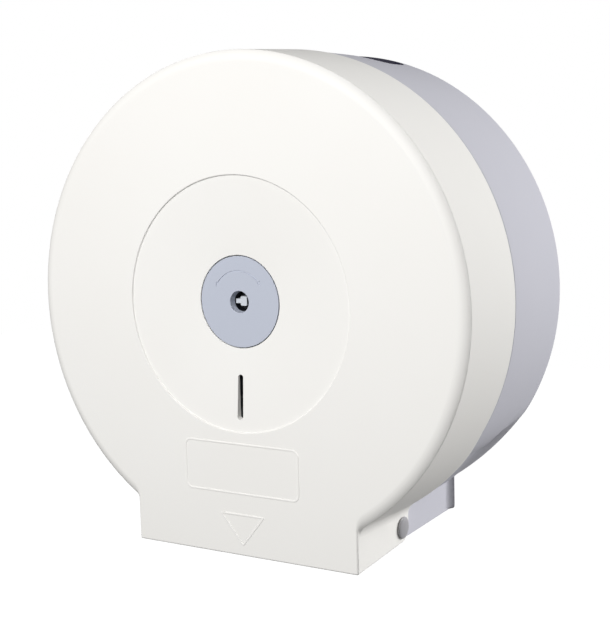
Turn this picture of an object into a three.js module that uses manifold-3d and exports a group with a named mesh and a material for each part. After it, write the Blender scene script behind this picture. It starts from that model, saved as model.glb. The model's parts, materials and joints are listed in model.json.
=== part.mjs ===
// Wall-hung dispenser for one jumbo toilet roll: a back housing with a spindle for the roll,
// and a drum-shaped cover with a key lock that drops open on two pins beside the paper throat.
// Millimetres, +Z up. The origin is on the wall, on the spindle's axis, and the front faces -Y.

import * as THREE from 'three';
import { mergeVertices } from 'three/addons/utils/BufferGeometryUtils.js';
import Module from 'manifold-3d';

const wasm = await Module();
wasm.setup();

// Overall sizes
const depth = 120; // wall to the flat face of the cover
const drumRadius = 132; // outside of the cover
const drumDrop = 1.7; // the drum's centre hangs this far below the spindle
const gap = 0.3; // between pieces that touch or are cut by each other
const overrun = 6; // how far a cutter runs past what it cuts

// Cover: drum, shoulder and rim
const coverWall = 2.5;
const shoulderRadius = 8.5;
const rimDepth = 52.7; // from the face back to the rim's open edge
const earReach = 6.1; // how much further back the edge of the ears lies

// Cover: skirt and ears round the throat
const skirtWall = 2.2;
const skirtHang = 20.365; // from where its sides leave the drum to its bottom edge at the face
const skirtHeight = 44.9;
const skirtRise = 2; // how much higher its bottom edge is at the ears
const skirtEdgeRadius = 1.4;
const earCornerRadius = 8;
const rimBendLength = 24; // height over which the rim's edge runs back to the ears

// Cover: dish, viewing slot and raised marks
const dishRadius = 66.2;
const dishStep = 1.1; // drop at the dish's edge
const dishDepth = 4; // drop where the dish meets the lock plate
const slotWidth = 2.3;
const slotTop = -38.05;
const slotBottom = -61.2;
const markHeight = 0.45; // how far frame and arrow stand proud
const markWidth = 1.1;
const labelHalfWidth = 34.9;
const labelHeight = 26.6;
const labelRaise = 33.9; // above the skirt's bottom edge
const labelCorner = 3.5;
const arrowHalfWidth = 13.2;
const arrowHeight = 16.4;
const arrowRaise = 6; // above the skirt's bottom edge

// Hinge pins
const pinInset = 8; // from the ears' back edge to the pins' axis
const pinRaise = 10.7; // above the skirt's bottom edge
const pinRadius = 3;
const pinHeadRadius = 6.2;
const pinHeadRim = 0.8;
const pinHeadDome = 1.7;
const pinTail = 0.6; // how far a pin shows past its clip
const clipRadius = 5.5;
const clipThick = 1.2;

// Back housing
const housingInset = 0.8; // its wall stands this far inside the cover's outside
const housingWall = 2.5;
const panelThick = 3;
const rimGap = 0.4; // between the cover's edge and the housing's edge
const facetTopAngle = -37.5; // degrees round the drum: the lower flanks are flat between these
const facetBottomAngle = -57.5;
const lipThick = 1.6; // locating lip that stands inside the cover's rim
const lipReach = 3;
const lipRoot = 7;
const lipRaise = 6; // the lip ends this far above the bend of the rim's edge
const cheekHalfWidth = 66; // outside of the throat's side plates
const cheekThick = 3;
const throatRaise = 3.9; // the cheeks end this far above the skirt's bottom edge
const noseRadius = 6.8; // round front end of a cheek, about the pin
const flangeThick = 4.5; // plate at the wall behind the throat
const flangeHeight = 31;
const flangeCorner = 2.5;
const ovalHalfWidth = 42;
const ovalBack = -3;
const ovalFront = -26;
const wallHoleWidth = 4; // four upright slots for the wall screws
const wallHoleLength = 9;
const wallHoleSide = 72;
const wallHoleTop = 62;
const wallHoleBottom = -56;
const bossMargin = 3; // the pad under the spindle is this much wider than its flange
const bossHeight = 5;

// Spindle post and its screws
const postFlangeRadius = 30;
const postFlangeThick = 5.6;
const postRadius = 20;
const postWall = 2.5;
const screwCount = 3;
const screwRadius = 1.7;
const screwHeadRadius = 3.4;
const screwHeadHeight = 2;
const screwLength = 8;
const screwSlotWidth = 0.9;
const screwSlotDepth = 1;

// Roll hub and core adapter
const hubClearance = 0.4;
const hubWall = 3.6;
const hubFlangeRadius = 44;
const hubFlangeThick = 3;
const hubEndGap = 0.6;
const adapterWall = 2.5;
const adapterLength = 66;
const finCount = 6;
const finThick = 2.4;
const finRadius = 36.5; // a roll's core is 76 across
const finLead = 6; // slope at the fins' front ends

// Lock: plate, barrel and nut
const plateRadius = 24.6;
const plateGap = 0.5;
const plateThick = 3;
const barrelRadius = 9.5;
const wellRadius = 5.5;
const wellDepth = 8;
const barrelLip = 1;
const nutThick = 4;
const nutHalfFlats = 13;
const threadSpare = 2;

// Lock: core, cam and what holds them
const coreHeadThick = 2.8;
const stemRadius = 3.5;
const keyPostWidth = 4;
const keyPostHeight = 5.1;
const keyPostLength = 4;
const keyRibHeight = 2.4;
const washerRadius = 7.5;
const washerThick = 0.8;
const neckRadius = 2.4;
const camLength = 24;
const camHeight = 7;
const camThick = 3;
const camPlay = 0.8; // between the cam and the keeper when locked
const camScrewRadius = 1.2;
const camScrewLength = 7;
const camScrewHeadRadius = 3;
const camScrewHeadHeight = 1.9;

// Latch keeper
const keeperAir = 3.4; // between the core's clip and the keeper
const keeperRadius = 23.5;
const keeperThick = 2.3;
const spigotWall = 1.8;
const spigotLength = 6;
const keeperEndPlay = 1; // between the slot's ends and the cam's
const keeperTopPlay = 0.7;
const keeperLowPlay = 3.5; // the cam drops as the cover swings out
const keeperSlotCorner = 2;

// Tear bars
const barSideGap = 5; // between a bar's end and the cheek
const barThick = 1;
const barHeight = 7.5; // without the teeth
const toothHeight = 2.2;
const toothCount = 29;
const barInset = 1; // from the tips of the teeth to the throat's lower edge
const rivetInset = 12; // from a bar's end
const rivetRadius = 1.4;
const rivetHeadRadius = 2.8;
const rivetHeadHeight = 1.1;
const frontRivetDepth = 1.3; // how far a rivet reaches into its carrier
const rearRivetDepth = 3;

// Fineness of round shapes
const drumSides = 72;
const tubeSides = 32;
const smallSides = 16;
const filletSteps = 4;
const curveSteps = 5;

// Places along the depth, from the wall out to the face
const face = -depth;
const rimEdge = face + rimDepth;
const earEdge = rimEdge + earReach;
const pinPlace = earEdge - pinInset;
const panelFront = -panelThick;
const bossFront = panelFront - bossHeight;
const postBack = bossFront - gap;
const postFlangeFront = postBack - postFlangeThick;
const screwSeat = postFlangeFront + screwHeadHeight + gap;
const hubBack = postFlangeFront - gap;
const hubFlangeFront = hubBack - hubFlangeThick;
const adapterBack = hubFlangeFront - gap;
const plateFront = face + dishDepth;
const plateBack = plateFront + plateThick;
const recessFloor = plateBack + gap;
const coverCentreBack = recessFloor + coverWall;
const nutFront = coverCentreBack + gap;
const nutBack = nutFront + nutThick;
const barrelBack = nutBack + threadSpare;
const washerFront = barrelBack + gap;
const coreClipFront = washerFront + washerThick + gap;
const keeperFront = coreClipFront + washerThick + keeperAir;
const keeperBack = keeperFront + keeperThick;
const postFront = keeperBack + gap;
const hubFront = postFront + hubEndGap;
const camFront = keeperBack + camPlay;
const camBack = camFront + camThick;

// Places up and down
const skirtInnerHalfWidth = cheekHalfWidth + gap;
const skirtHalfWidth = skirtInnerHalfWidth + skirtWall;
const skirtRoot = -drumDrop - Math.sqrt(drumRadius * drumRadius - skirtHalfWidth * skirtHalfWidth);
const skirtBottom = skirtRoot - skirtHang;
const skirtTop = skirtBottom + skirtHeight;
const rimBendBottom = skirtTop;
const rimBendTop = rimBendBottom + rimBendLength;
const lipLowest = rimBendTop + lipRaise;
const labelBottom = skirtBottom + labelRaise;
const labelTop = labelBottom + labelHeight;
const arrowTip = skirtBottom + arrowRaise;
const arrowTop = arrowTip + arrowHeight;
const pinHeight = skirtBottom + pinRaise;
const throatBottom = skirtBottom + throatRaise;
const flangeTop = throatBottom + flangeHeight;

// Sizes that follow from others
const housingRadius = drumRadius - housingInset;
const barHalfWidth = cheekHalfWidth - cheekThick - barSideGap;
const rivetSide = barHalfWidth - rivetInset;
const bossRadius = postFlangeRadius + bossMargin;
const screwCircle = (postRadius + postFlangeRadius) / 2;
const keeperSlotHalfWidth = camLength / 2 + keeperEndPlay;
const keeperSlotAbove = camHeight / 2 + keeperTopPlay;
const keeperSlotBelow = camHeight / 2 + keeperLowPlay;
const recessRadius = plateRadius + plateGap;
const coverInnerRadius = drumRadius - coverWall;
const hubBore = postRadius + hubClearance;
const hubRadius = hubBore + hubWall;
const adapterBore = hubRadius + gap;
const coreRadius = wellRadius - gap;
const stemBore = stemRadius + gap;

// Materials
function finish(color, roughness, metalness) {
  return new THREE.MeshStandardMaterial({ color, roughness, metalness });
}
const whitePlastic = finish(0xeeece8, 0.38, 0);
const greyPlastic = finish(0xc6c8cf, 0.42, 0);
const lockPlastic = finish(0xbfc4d0, 0.35, 0);
const darkPlastic = finish(0x6f747c, 0.5, 0);
const steel = finish(0xb4b7ba, 0.3, 1);
const zinc = finish(0xc2c3bd, 0.42, 1);

// From three.js geometry to a solid that can be joined and cut, and back
function toSolid(geometry) {
  geometry.deleteAttribute('normal');
  geometry.deleteAttribute('uv');
  const merged = mergeVertices(geometry);
  const corners = merged.index.array;
  const kept = [];
  for (let i = 0; i < corners.length; i += 3) {
    const [a, b, c] = corners.slice(i, i + 3);
    if (a !== b && b !== c && c !== a) kept.push(a, b, c);
  }
  const vertProperties = new Float32Array(merged.attributes.position.array);
  const triVerts = new Uint32Array(kept);
  return new wasm.Manifold(new wasm.Mesh({ numProp: 3, vertProperties, triVerts }));
}

function toMesh(name, solid, material) {
  const { vertProperties, triVerts } = solid.getMesh();
  const geometry = new THREE.BufferGeometry();
  geometry.setAttribute('position', new THREE.BufferAttribute(vertProperties, 3));
  geometry.setIndex(new THREE.BufferAttribute(triVerts, 1));
  geometry.computeVertexNormals();
  const mesh = new THREE.Mesh(geometry, material);
  mesh.name = name;
  return mesh;
}

// A body turned about the Y axis from a list of [radius, y], either way round
function turned(profile, sides, height = 0) {
  let area = 0;
  profile.forEach(([r, y], i) => {
    const [nextR, nextY] = profile[(i + 1) % profile.length];
    area += r * nextY - nextR * y;
  });
  const points = profile.map(([r, y]) => new THREE.Vector2(r, y));
  if (area < 0) points.reverse();
  if (points[0].x > 0) points.push(points[0].clone());
  const body = new THREE.LatheGeometry(points, sides);
  body.translate(0, 0, height);
  return toSolid(body);
}

// A washer or tube about the Y axis
function ring(innerRadius, outerRadius, front, back, sides, height = 0) {
  const section = [[innerRadius, front], [outerRadius, front], [outerRadius, back], [innerRadius, back]];
  return turned(section, sides, height);
}

// A shape in x and z, pushed along Y
function alongY(shape, front, back) {
  const settings = { depth: back - front, bevelEnabled: false, curveSegments: curveSteps };
  const body = new THREE.ExtrudeGeometry(shape, settings);
  body.rotateX(Math.PI / 2);
  body.translate(0, back, 0);
  return toSolid(body);
}

// A shape in y and z, pushed along X
function alongX(shape, left, right) {
  const settings = { depth: right - left, bevelEnabled: false, curveSegments: curveSteps };
  const body = new THREE.ExtrudeGeometry(shape, settings);
  const turn = new THREE.Matrix4().makeBasis(
    new THREE.Vector3(0, 1, 0), new THREE.Vector3(0, 0, 1), new THREE.Vector3(1, 0, 0));
  body.applyMatrix4(turn);
  body.translate(left, 0, 0);
  return toSolid(body);
}

// A shape in x and y, pushed along Z
function alongZ(shape, low, high) {
  const settings = { depth: high - low, bevelEnabled: false, curveSegments: curveSteps };
  const body = new THREE.ExtrudeGeometry(shape, settings);
  body.translate(0, 0, low);
  return toSolid(body);
}

function block(left, right, front, back, low, high) {
  const body = new THREE.BoxGeometry(right - left, back - front, high - low);
  body.translate((left + right) / 2, (front + back) / 2, (low + high) / 2);
  return toSolid(body);
}

// A round bar along Y through (x, z)
function barAlongY(radius, x, z, front, back, sides = smallSides) {
  const body = new THREE.CylinderGeometry(radius, radius, back - front, sides);
  body.translate(x, (front + back) / 2, z);
  return toSolid(body);
}

// A round bar along X through (y, z)
function barAlongX(radius, y, z, left, right) {
  const body = new THREE.CylinderGeometry(radius, radius, right - left, smallSides);
  body.rotateZ(Math.PI / 2);
  body.translate((left + right) / 2, y, z);
  return toSolid(body);
}

// Outlines
function roundedRectangle(left, right, low, high, radius) {
  const shape = new THREE.Shape();
  shape.moveTo(left + radius, low);
  shape.lineTo(right - radius, low);
  shape.absarc(right - radius, low + radius, radius, -Math.PI / 2, 0, false);
  shape.lineTo(right, high - radius);
  shape.absarc(right - radius, high - radius, radius, 0, Math.PI / 2, false);
  shape.lineTo(left + radius, high);
  shape.absarc(left + radius, high - radius, radius, Math.PI / 2, Math.PI, false);
  shape.lineTo(left, low + radius);
  shape.absarc(left + radius, low + radius, radius, Math.PI, Math.PI * 1.5, false);
  return shape;
}

function polygon(points) {
  return new THREE.Shape(points.map(([x, y]) => new THREE.Vector2(x, y)));
}

// Everything behind the edge of the cover's rim, which runs back smoothly to the ears
function behindRimEdge(shift) {
  const top = drumRadius + overrun;
  const middle = (rimBendTop + rimBendBottom) / 2;
  const shape = new THREE.Shape();
  shape.moveTo(overrun, top);
  shape.lineTo(rimEdge + shift, top);
  shape.lineTo(rimEdge + shift, rimBendTop);
  shape.bezierCurveTo(rimEdge + shift, middle, earEdge + shift, middle, earEdge + shift, rimBendBottom);
  shape.lineTo(earEdge + shift, -top);
  shape.lineTo(overrun, -top);
  return shape;
}

// Cover
function drum(inset, back) {
  const front = face + inset;
  const radius = drumRadius - inset;
  const bend = shoulderRadius - inset;
  const profile = [[0, front]];
  for (let i = 0; i <= filletSteps; i++) {
    const turn = (i / filletSteps) * (Math.PI / 2);
    profile.push([radius - bend + bend * Math.sin(turn), front + bend - bend * Math.cos(turn)]);
  }
  profile.push([radius, back], [0, back]);
  return turned(profile, drumSides, -drumDrop);
}

function skirt() {
  const side = new THREE.Shape();
  const earBottom = skirtBottom + skirtRise;
  side.moveTo(face, skirtTop);
  side.lineTo(face, skirtBottom + skirtEdgeRadius);
  side.quadraticCurveTo(face, skirtBottom, face + skirtEdgeRadius, skirtBottom);
  side.lineTo(earEdge - earCornerRadius, earBottom);
  side.absarc(earEdge - earCornerRadius, earBottom + earCornerRadius, earCornerRadius,
    -Math.PI / 2, 0, false);
  side.lineTo(earEdge, skirtTop);
  const plan = roundedRectangle(-skirtHalfWidth, skirtHalfWidth, face, earEdge + overrun, skirtEdgeRadius);
  const upright = alongZ(plan, skirtBottom - overrun, skirtTop + overrun);
  return alongX(side, -skirtHalfWidth, skirtHalfWidth).intersect(upright);
}

function dishCutter() {
  return turned([
    [0, face - overrun], [dishRadius, face - overrun], [dishRadius, face + dishStep],
    [recessRadius, plateFront], [recessRadius, recessFloor], [0, recessFloor],
  ], drumSides);
}

function dishBacking() {
  return turned([
    [0, face], [dishRadius + coverWall, face], [dishRadius + coverWall, face + dishStep + coverWall],
    [recessRadius + coverWall, plateFront + coverWall], [recessRadius + coverWall, coverCentreBack],
    [0, coverCentreBack],
  ], drumSides);
}

function raisedFrame() {
  const outer = roundedRectangle(-labelHalfWidth, labelHalfWidth, labelBottom, labelTop, labelCorner);
  outer.holes.push(roundedRectangle(-labelHalfWidth + markWidth, labelHalfWidth - markWidth,
    labelBottom + markWidth, labelTop - markWidth, labelCorner - markWidth));
  return alongY(outer, face - markHeight, face + markHeight);
}

function raisedArrow() {
  const height = arrowTop - arrowTip;
  const slope = Math.hypot(arrowHalfWidth, height);
  const tipInset = markWidth * slope / arrowHalfWidth;
  const sideInset = (height - markWidth - tipInset) * arrowHalfWidth / height;
  const outer = polygon([[-arrowHalfWidth, arrowTop], [0, arrowTip], [arrowHalfWidth, arrowTop]]);
  outer.holes.push(polygon([
    [-sideInset, arrowTop - markWidth], [0, arrowTip + tipInset], [sideInset, arrowTop - markWidth],
  ]));
  return alongY(outer, face - markHeight, face + markHeight);
}

function makeCover() {
  const room = drum(coverWall, earEdge + overrun)
    .add(block(-skirtInnerHalfWidth, skirtInnerHalfWidth, face + coverWall, earEdge + overrun,
      skirtBottom - overrun, skirtTop))
    .subtract(dishBacking());
  let cover = drum(0, earEdge).add(skirt()).subtract(room).subtract(dishCutter());
  cover = cover.add(raisedFrame()).add(raisedArrow());
  cover = cover.subtract(alongX(behindRimEdge(0), -drumRadius - overrun, drumRadius + overrun));
  const slot = roundedRectangle(-slotWidth / 2, slotWidth / 2, slotBottom, slotTop, slotWidth / 2);
  cover = cover.subtract(alongY(slot, face - overrun, coverCentreBack));
  cover = cover.subtract(barAlongY(barrelRadius + gap, 0, 0, face - overrun, coverCentreBack + overrun,
    tubeSides));
  cover = cover.subtract(barAlongX(pinRadius + gap, pinPlace, pinHeight, -drumRadius, drumRadius));
  for (const x of [-rivetSide, rivetSide]) {
    const holeFront = face + coverWall - frontRivetDepth - gap;
    const holeHeight = frontBarTop() - barHeight / 2;
    cover = cover.subtract(barAlongY(rivetRadius + gap, x, holeHeight, holeFront, face + overrun));
  }
  return cover;
}

// Back housing
function housingOutline(inset, bottom) {
  const radius = housingRadius - inset;
  const half = cheekHalfWidth - (inset > 0 ? cheekThick : 0);
  const shoulder = -drumDrop - Math.sqrt(radius * radius - half * half);
  const facetTop = THREE.MathUtils.degToRad(facetTopAngle);
  const facetBottom = THREE.MathUtils.degToRad(facetBottomAngle);
  const onDrum = (angle) => [radius * Math.cos(angle), -drumDrop + radius * Math.sin(angle)];
  const points = [[half, bottom], [half, shoulder], onDrum(facetBottom)];
  const span = Math.PI - 2 * facetTop;
  const steps = Math.round(drumSides * span / (2 * Math.PI));
  for (let i = 0; i <= steps; i++) points.push(onDrum(facetTop + (i / steps) * span));
  points.push(onDrum(Math.PI - facetBottom), [-half, shoulder], [-half, bottom]);
  return polygon(points);
}

function cheek(left, right) {
  const side = new THREE.Shape();
  side.moveTo(panelFront, throatBottom);
  side.lineTo(panelFront, flangeTop);
  side.lineTo(earEdge + rimGap, flangeTop);
  side.lineTo(earEdge + rimGap, pinHeight + noseRadius);
  side.lineTo(pinPlace, pinHeight + noseRadius);
  side.absarc(pinPlace, pinHeight, noseRadius, Math.PI / 2, Math.PI * 1.5, false);
  return alongX(side, left, right);
}

function makeHousing() {
  const edge = rimEdge + rimGap;
  const outside = alongY(housingOutline(0, throatBottom), edge, 0);
  const inside = alongY(housingOutline(housingWall, throatBottom - overrun), edge - overrun, panelFront);
  let housing = outside.subtract(inside);
  const forward = alongX(behindRimEdge(rimGap), -drumRadius, drumRadius);
  housing = housing.intersect(forward.add(block(-cheekHalfWidth, cheekHalfWidth, edge, 0,
    throatBottom, flangeTop)));
  const lip = ring(coverInnerRadius - rimGap - lipThick, coverInnerRadius - rimGap,
    edge - lipReach, edge + lipRoot, drumSides, -drumDrop);
  housing = housing.add(lip.intersect(block(-drumRadius, drumRadius, edge - overrun, 0,
    lipLowest, drumRadius)));
  const innerHalf = cheekHalfWidth - cheekThick;
  housing = housing.add(cheek(innerHalf, cheekHalfWidth)).add(cheek(-cheekHalfWidth, -innerHalf));
  const flange = roundedRectangle(-skirtHalfWidth, skirtHalfWidth, throatBottom, flangeTop, flangeCorner);
  housing = housing.add(alongY(flange, -flangeThick, 0));
  housing = housing.add(barAlongY(bossRadius, 0, 0, bossFront, panelFront + gap, tubeSides));
  return drillHousing(housing);
}

function drillHousing(solid) {
  const oval = roundedRectangle(-ovalHalfWidth, ovalHalfWidth, ovalFront, ovalBack,
    (ovalBack - ovalFront) / 2);
  let housing = solid.subtract(alongZ(oval, housingRadius / 2, housingRadius + overrun));
  for (const side of [-wallHoleSide, wallHoleSide]) {
    for (const top of [wallHoleTop, wallHoleBottom]) {
      const slot = roundedRectangle(side - wallHoleWidth / 2, side + wallHoleWidth / 2,
        top - wallHoleLength, top, wallHoleWidth / 2);
      housing = housing.subtract(alongY(slot, panelFront - overrun, overrun));
    }
  }
  for (const [x, z] of screwPlaces()) {
    housing = housing.subtract(barAlongY(screwRadius + gap, x, z, bossFront - overrun,
      screwSeat + screwLength));
  }
  housing = housing.subtract(barAlongX(pinRadius + gap, pinPlace, pinHeight, -drumRadius, drumRadius));
  for (const x of [-rivetSide, rivetSide]) {
    housing = housing.subtract(barAlongY(rivetRadius + gap, x, rearBarTop() - barHeight / 2,
      -flangeThick - overrun, -flangeThick + rearRivetDepth + gap));
  }
  return housing;
}

// Spindle post, screws and keeper
function screwPlaces() {
  const places = [];
  for (let i = 0; i < screwCount; i++) {
    const turn = Math.PI / 2 + (i / screwCount) * Math.PI * 2;
    places.push([screwCircle * Math.cos(turn), screwCircle * Math.sin(turn)]);
  }
  return places;
}

function makePost() {
  const bore = postRadius - postWall;
  let post = turned([
    [0, postBack], [postFlangeRadius, postBack], [postFlangeRadius, postFlangeFront],
    [postRadius, postFlangeFront], [postRadius, postFront], [bore, postFront],
    [bore, postFlangeFront], [0, postFlangeFront],
  ], tubeSides);
  for (const [x, z] of screwPlaces()) {
    post = post.subtract(barAlongY(screwRadius + gap, x, z, postFlangeFront - overrun, 0));
    post = post.subtract(barAlongY(screwHeadRadius + gap, x, z, postFlangeFront - overrun, screwSeat));
  }
  return post;
}

// A screw or rivet whose head's underside is at y = 0 and whose head faces -Y
function makeFastener(headRadius, headHeight, shankRadius, length, slotted) {
  const bulge = headHeight / 2;
  let fastener = turned([
    [0, -headHeight], [headRadius - bulge, -headHeight], [headRadius, -bulge], [headRadius, 0],
    [shankRadius, 0], [shankRadius, length], [0, length],
  ], smallSides);
  if (slotted) {
    fastener = fastener.subtract(block(-headRadius, headRadius, -headHeight - overrun,
      -headHeight + screwSlotDepth, -screwSlotWidth / 2, screwSlotWidth / 2));
  }
  return fastener;
}

function makeKeeper() {
  const spigot = postRadius - postWall - gap;
  const cap = turned([
    [0, keeperFront], [keeperRadius, keeperFront], [keeperRadius, keeperBack], [spigot, keeperBack],
    [spigot, keeperBack + spigotLength], [spigot - spigotWall, keeperBack + spigotLength],
    [spigot - spigotWall, keeperBack], [0, keeperBack],
  ], tubeSides);
  const slot = roundedRectangle(-keeperSlotHalfWidth, keeperSlotHalfWidth, -keeperSlotBelow,
    keeperSlotAbove, keeperSlotCorner);
  return cap.subtract(alongY(slot, keeperFront - overrun, keeperBack + overrun));
}

// Roll hub and core adapter
function makeHub() {
  return turned([
    [hubBore, hubBack], [hubFlangeRadius, hubBack], [hubFlangeRadius, hubFlangeFront],
    [hubRadius, hubFlangeFront], [hubRadius, hubFront], [hubBore, hubFront],
  ], tubeSides);
}

function makeAdapter() {
  const front = adapterBack - adapterLength;
  let adapter = ring(adapterBore, adapterBore + adapterWall, front, adapterBack, tubeSides);
  const inner = adapterBore + adapterWall / 2;
  const outline = polygon([
    [inner, adapterBack], [finRadius, adapterBack], [finRadius, front + finLead],
    [finRadius - finLead, front], [inner, front],
  ]);
  for (let i = 0; i < finCount; i++) {
    const settings = { depth: finThick, bevelEnabled: false };
    const fin = new THREE.ExtrudeGeometry(outline, settings);
    fin.translate(0, 0, -finThick / 2);
    fin.rotateY((i / finCount) * Math.PI * 2);
    adapter = adapter.add(toSolid(fin));
  }
  return adapter;
}

// Hinge pin: its head's underside is at y = 0 and its head faces +Y
function makePin() {
  const shank = gap + skirtHalfWidth - cheekHalfWidth + cheekThick + gap + clipThick + pinTail;
  const profile = [[0, -shank], [pinRadius, -shank], [pinRadius, 0], [pinHeadRadius, 0]];
  for (let i = 0; i <= filletSteps; i++) {
    const turn = (i / filletSteps) * (Math.PI / 2);
    profile.push([pinHeadRadius * Math.cos(turn), pinHeadRim + pinHeadDome * Math.sin(turn)]);
  }
  profile[profile.length - 1][0] = 0;
  return turned(profile, smallSides);
}

// Lock
function makeEscutcheon() {
  const step = barrelBack - barrelLip;
  return turned([
    [wellRadius, plateFront], [plateRadius, plateFront], [plateRadius, plateBack],
    [barrelRadius, plateBack], [barrelRadius, barrelBack], [stemBore, barrelBack],
    [stemBore, step], [wellRadius, step],
  ], tubeSides);
}

function makeNut() {
  const radius = nutHalfFlats / Math.cos(Math.PI / 6);
  const body = new THREE.CylinderGeometry(radius, radius, nutThick, 6);
  body.translate(0, (nutFront + nutBack) / 2, 0);
  return toSolid(body).subtract(barAlongY(barrelRadius + gap, 0, 0, nutFront - overrun,
    nutBack + overrun, tubeSides));
}

function makeCore() {
  const headFront = plateFront + wellDepth;
  const headBack = headFront + coreHeadThick;
  const stemBack = camFront - gap;
  const neckBack = camBack - gap;
  let core = turned([
    [0, headFront], [coreRadius, headFront], [coreRadius, headBack], [stemRadius, headBack],
    [stemRadius, stemBack], [neckRadius, stemBack], [neckRadius, neckBack], [0, neckBack],
  ], smallSides);
  const postTip = headFront - keyPostLength;
  const post = roundedRectangle(-keyPostWidth / 2, keyPostWidth / 2, -keyPostHeight / 2,
    keyPostHeight / 2, keyPostWidth / 4);
  core = core.add(alongY(post, postTip, headFront + gap));
  const rib = block(-coreRadius, 0, postTip, headFront + gap, -keyRibHeight / 2, keyRibHeight / 2);
  core = core.add(rib.intersect(barAlongY(coreRadius, 0, 0, postTip - overrun, headBack)));
  return core.subtract(barAlongY(camScrewRadius + gap, 0, 0, neckBack - camScrewLength, neckBack + overrun));
}

function makeCam() {
  const half = camLength / 2;
  const outline = roundedRectangle(-half, half, -camHeight / 2, camHeight / 2, camHeight / 2);
  return alongY(outline, camFront, camBack)
    .subtract(barAlongY(neckRadius + gap, 0, 0, camFront - overrun, camBack + overrun));
}

// Tear bars
function frontBarTop() {
  return skirtBottom + barInset + toothHeight + barHeight;
}

function rearBarTop() {
  return throatBottom + barInset + toothHeight + barHeight;
}

function makeTearBar(top, front) {
  const points = [[barHalfWidth, top], [-barHalfWidth, top]];
  const pitch = 2 * barHalfWidth / toothCount;
  for (let i = 0; i < toothCount; i++) {
    const left = -barHalfWidth + i * pitch;
    points.push([left, top - barHeight], [left + pitch / 2, top - barHeight - toothHeight]);
  }
  points.push([barHalfWidth, top - barHeight]);
  let bar = alongY(polygon(points), front, front + barThick);
  for (const x of [-rivetSide, rivetSide]) {
    bar = bar.subtract(barAlongY(rivetRadius + gap, x, top - barHeight / 2, front - overrun,
      front + overrun));
  }
  return bar;
}

// Assembly
const dispenser = new THREE.Group();
const base = new THREE.Group();
const hub = new THREE.Group();
const cover = new THREE.Group();
const lock = new THREE.Group();
dispenser.add(base);
base.add(hub, cover);
cover.add(lock);

function addAt(group, name, solid, material, x, y, z, turn = 0) {
  const mesh = toMesh(name, solid, material);
  mesh.position.set(x, y, z);
  mesh.rotation.z = turn;
  group.add(mesh);
}

base.add(toMesh('back_housing', makeHousing(), greyPlastic));
base.add(toMesh('spindle_post', makePost(), greyPlastic));
base.add(toMesh('latch_keeper', makeKeeper(), darkPlastic));
screwPlaces().forEach(([x, z], i) => {
  const screw = makeFastener(screwHeadRadius, screwHeadHeight, screwRadius, screwLength - gap, true);
  addAt(base, `spindle_screw_${i + 1}`, screw, zinc, x, screwSeat - gap, z);
});

const clipInside = cheekHalfWidth - cheekThick - gap;
[['left', -1], ['right', 1]].forEach(([side, sign]) => {
  const turn = -sign * Math.PI / 2;
  addAt(base, `hinge_pin_${side}`, makePin(), zinc, sign * (skirtHalfWidth + gap), pinPlace, pinHeight, turn);
  const clip = ring(pinRadius + gap, clipRadius, -clipThick, 0, smallSides);
  addAt(base, `pin_clip_${side}`, clip, steel, sign * clipInside, pinPlace, pinHeight, turn);
});

const rearBarBack = -flangeThick - gap;
const rearBarFront = rearBarBack - barThick;
base.add(toMesh('tear_bar_rear', makeTearBar(rearBarTop(), rearBarFront), steel));
const frontBarFront = face + coverWall + gap;
cover.add(toMesh('tear_bar_front', makeTearBar(frontBarTop(), frontBarFront), steel));
[-rivetSide, rivetSide].forEach((x, i) => {
  const reach = gap + barThick + gap;
  const rear = makeFastener(rivetHeadRadius, rivetHeadHeight, rivetRadius, reach + rearRivetDepth, false);
  addAt(base, `rear_bar_rivet_${i + 1}`, rear, zinc, x, rearBarFront - gap, rearBarTop() - barHeight / 2);
  const front = makeFastener(rivetHeadRadius, rivetHeadHeight, rivetRadius, reach + frontRivetDepth, false);
  addAt(cover, `front_bar_rivet_${i + 1}`, front, zinc, x, frontBarFront + barThick + gap,
    frontBarTop() - barHeight / 2, Math.PI);
});

hub.add(toMesh('roll_hub', makeHub(), darkPlastic));
hub.add(toMesh('core_adapter', makeAdapter(), whitePlastic));

cover.add(toMesh('front_cover', makeCover(), whitePlastic));
cover.add(toMesh('lock_escutcheon', makeEscutcheon(), lockPlastic));
cover.add(toMesh('lock_nut', makeNut(), darkPlastic));

lock.add(toMesh('lock_core', makeCore(), lockPlastic));
const lockWasher = ring(stemBore, washerRadius, washerFront, washerFront + washerThick, smallSides);
lock.add(toMesh('lock_washer', lockWasher, steel));
const coreClip = ring(stemBore, clipRadius, coreClipFront, coreClipFront + washerThick, smallSides);
lock.add(toMesh('core_clip', coreClip, steel));
lock.add(toMesh('lock_cam', makeCam(), steel));
const camScrew = makeFastener(camScrewHeadRadius, camScrewHeadHeight, camScrewRadius, camScrewLength, true);
addAt(lock, 'cam_screw', camScrew, zinc, 0, camBack + gap, 0, Math.PI);

export default dispenser;
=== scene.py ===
import json
import math

import bmesh
import bpy
from mathutils import Matrix, Vector


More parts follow.
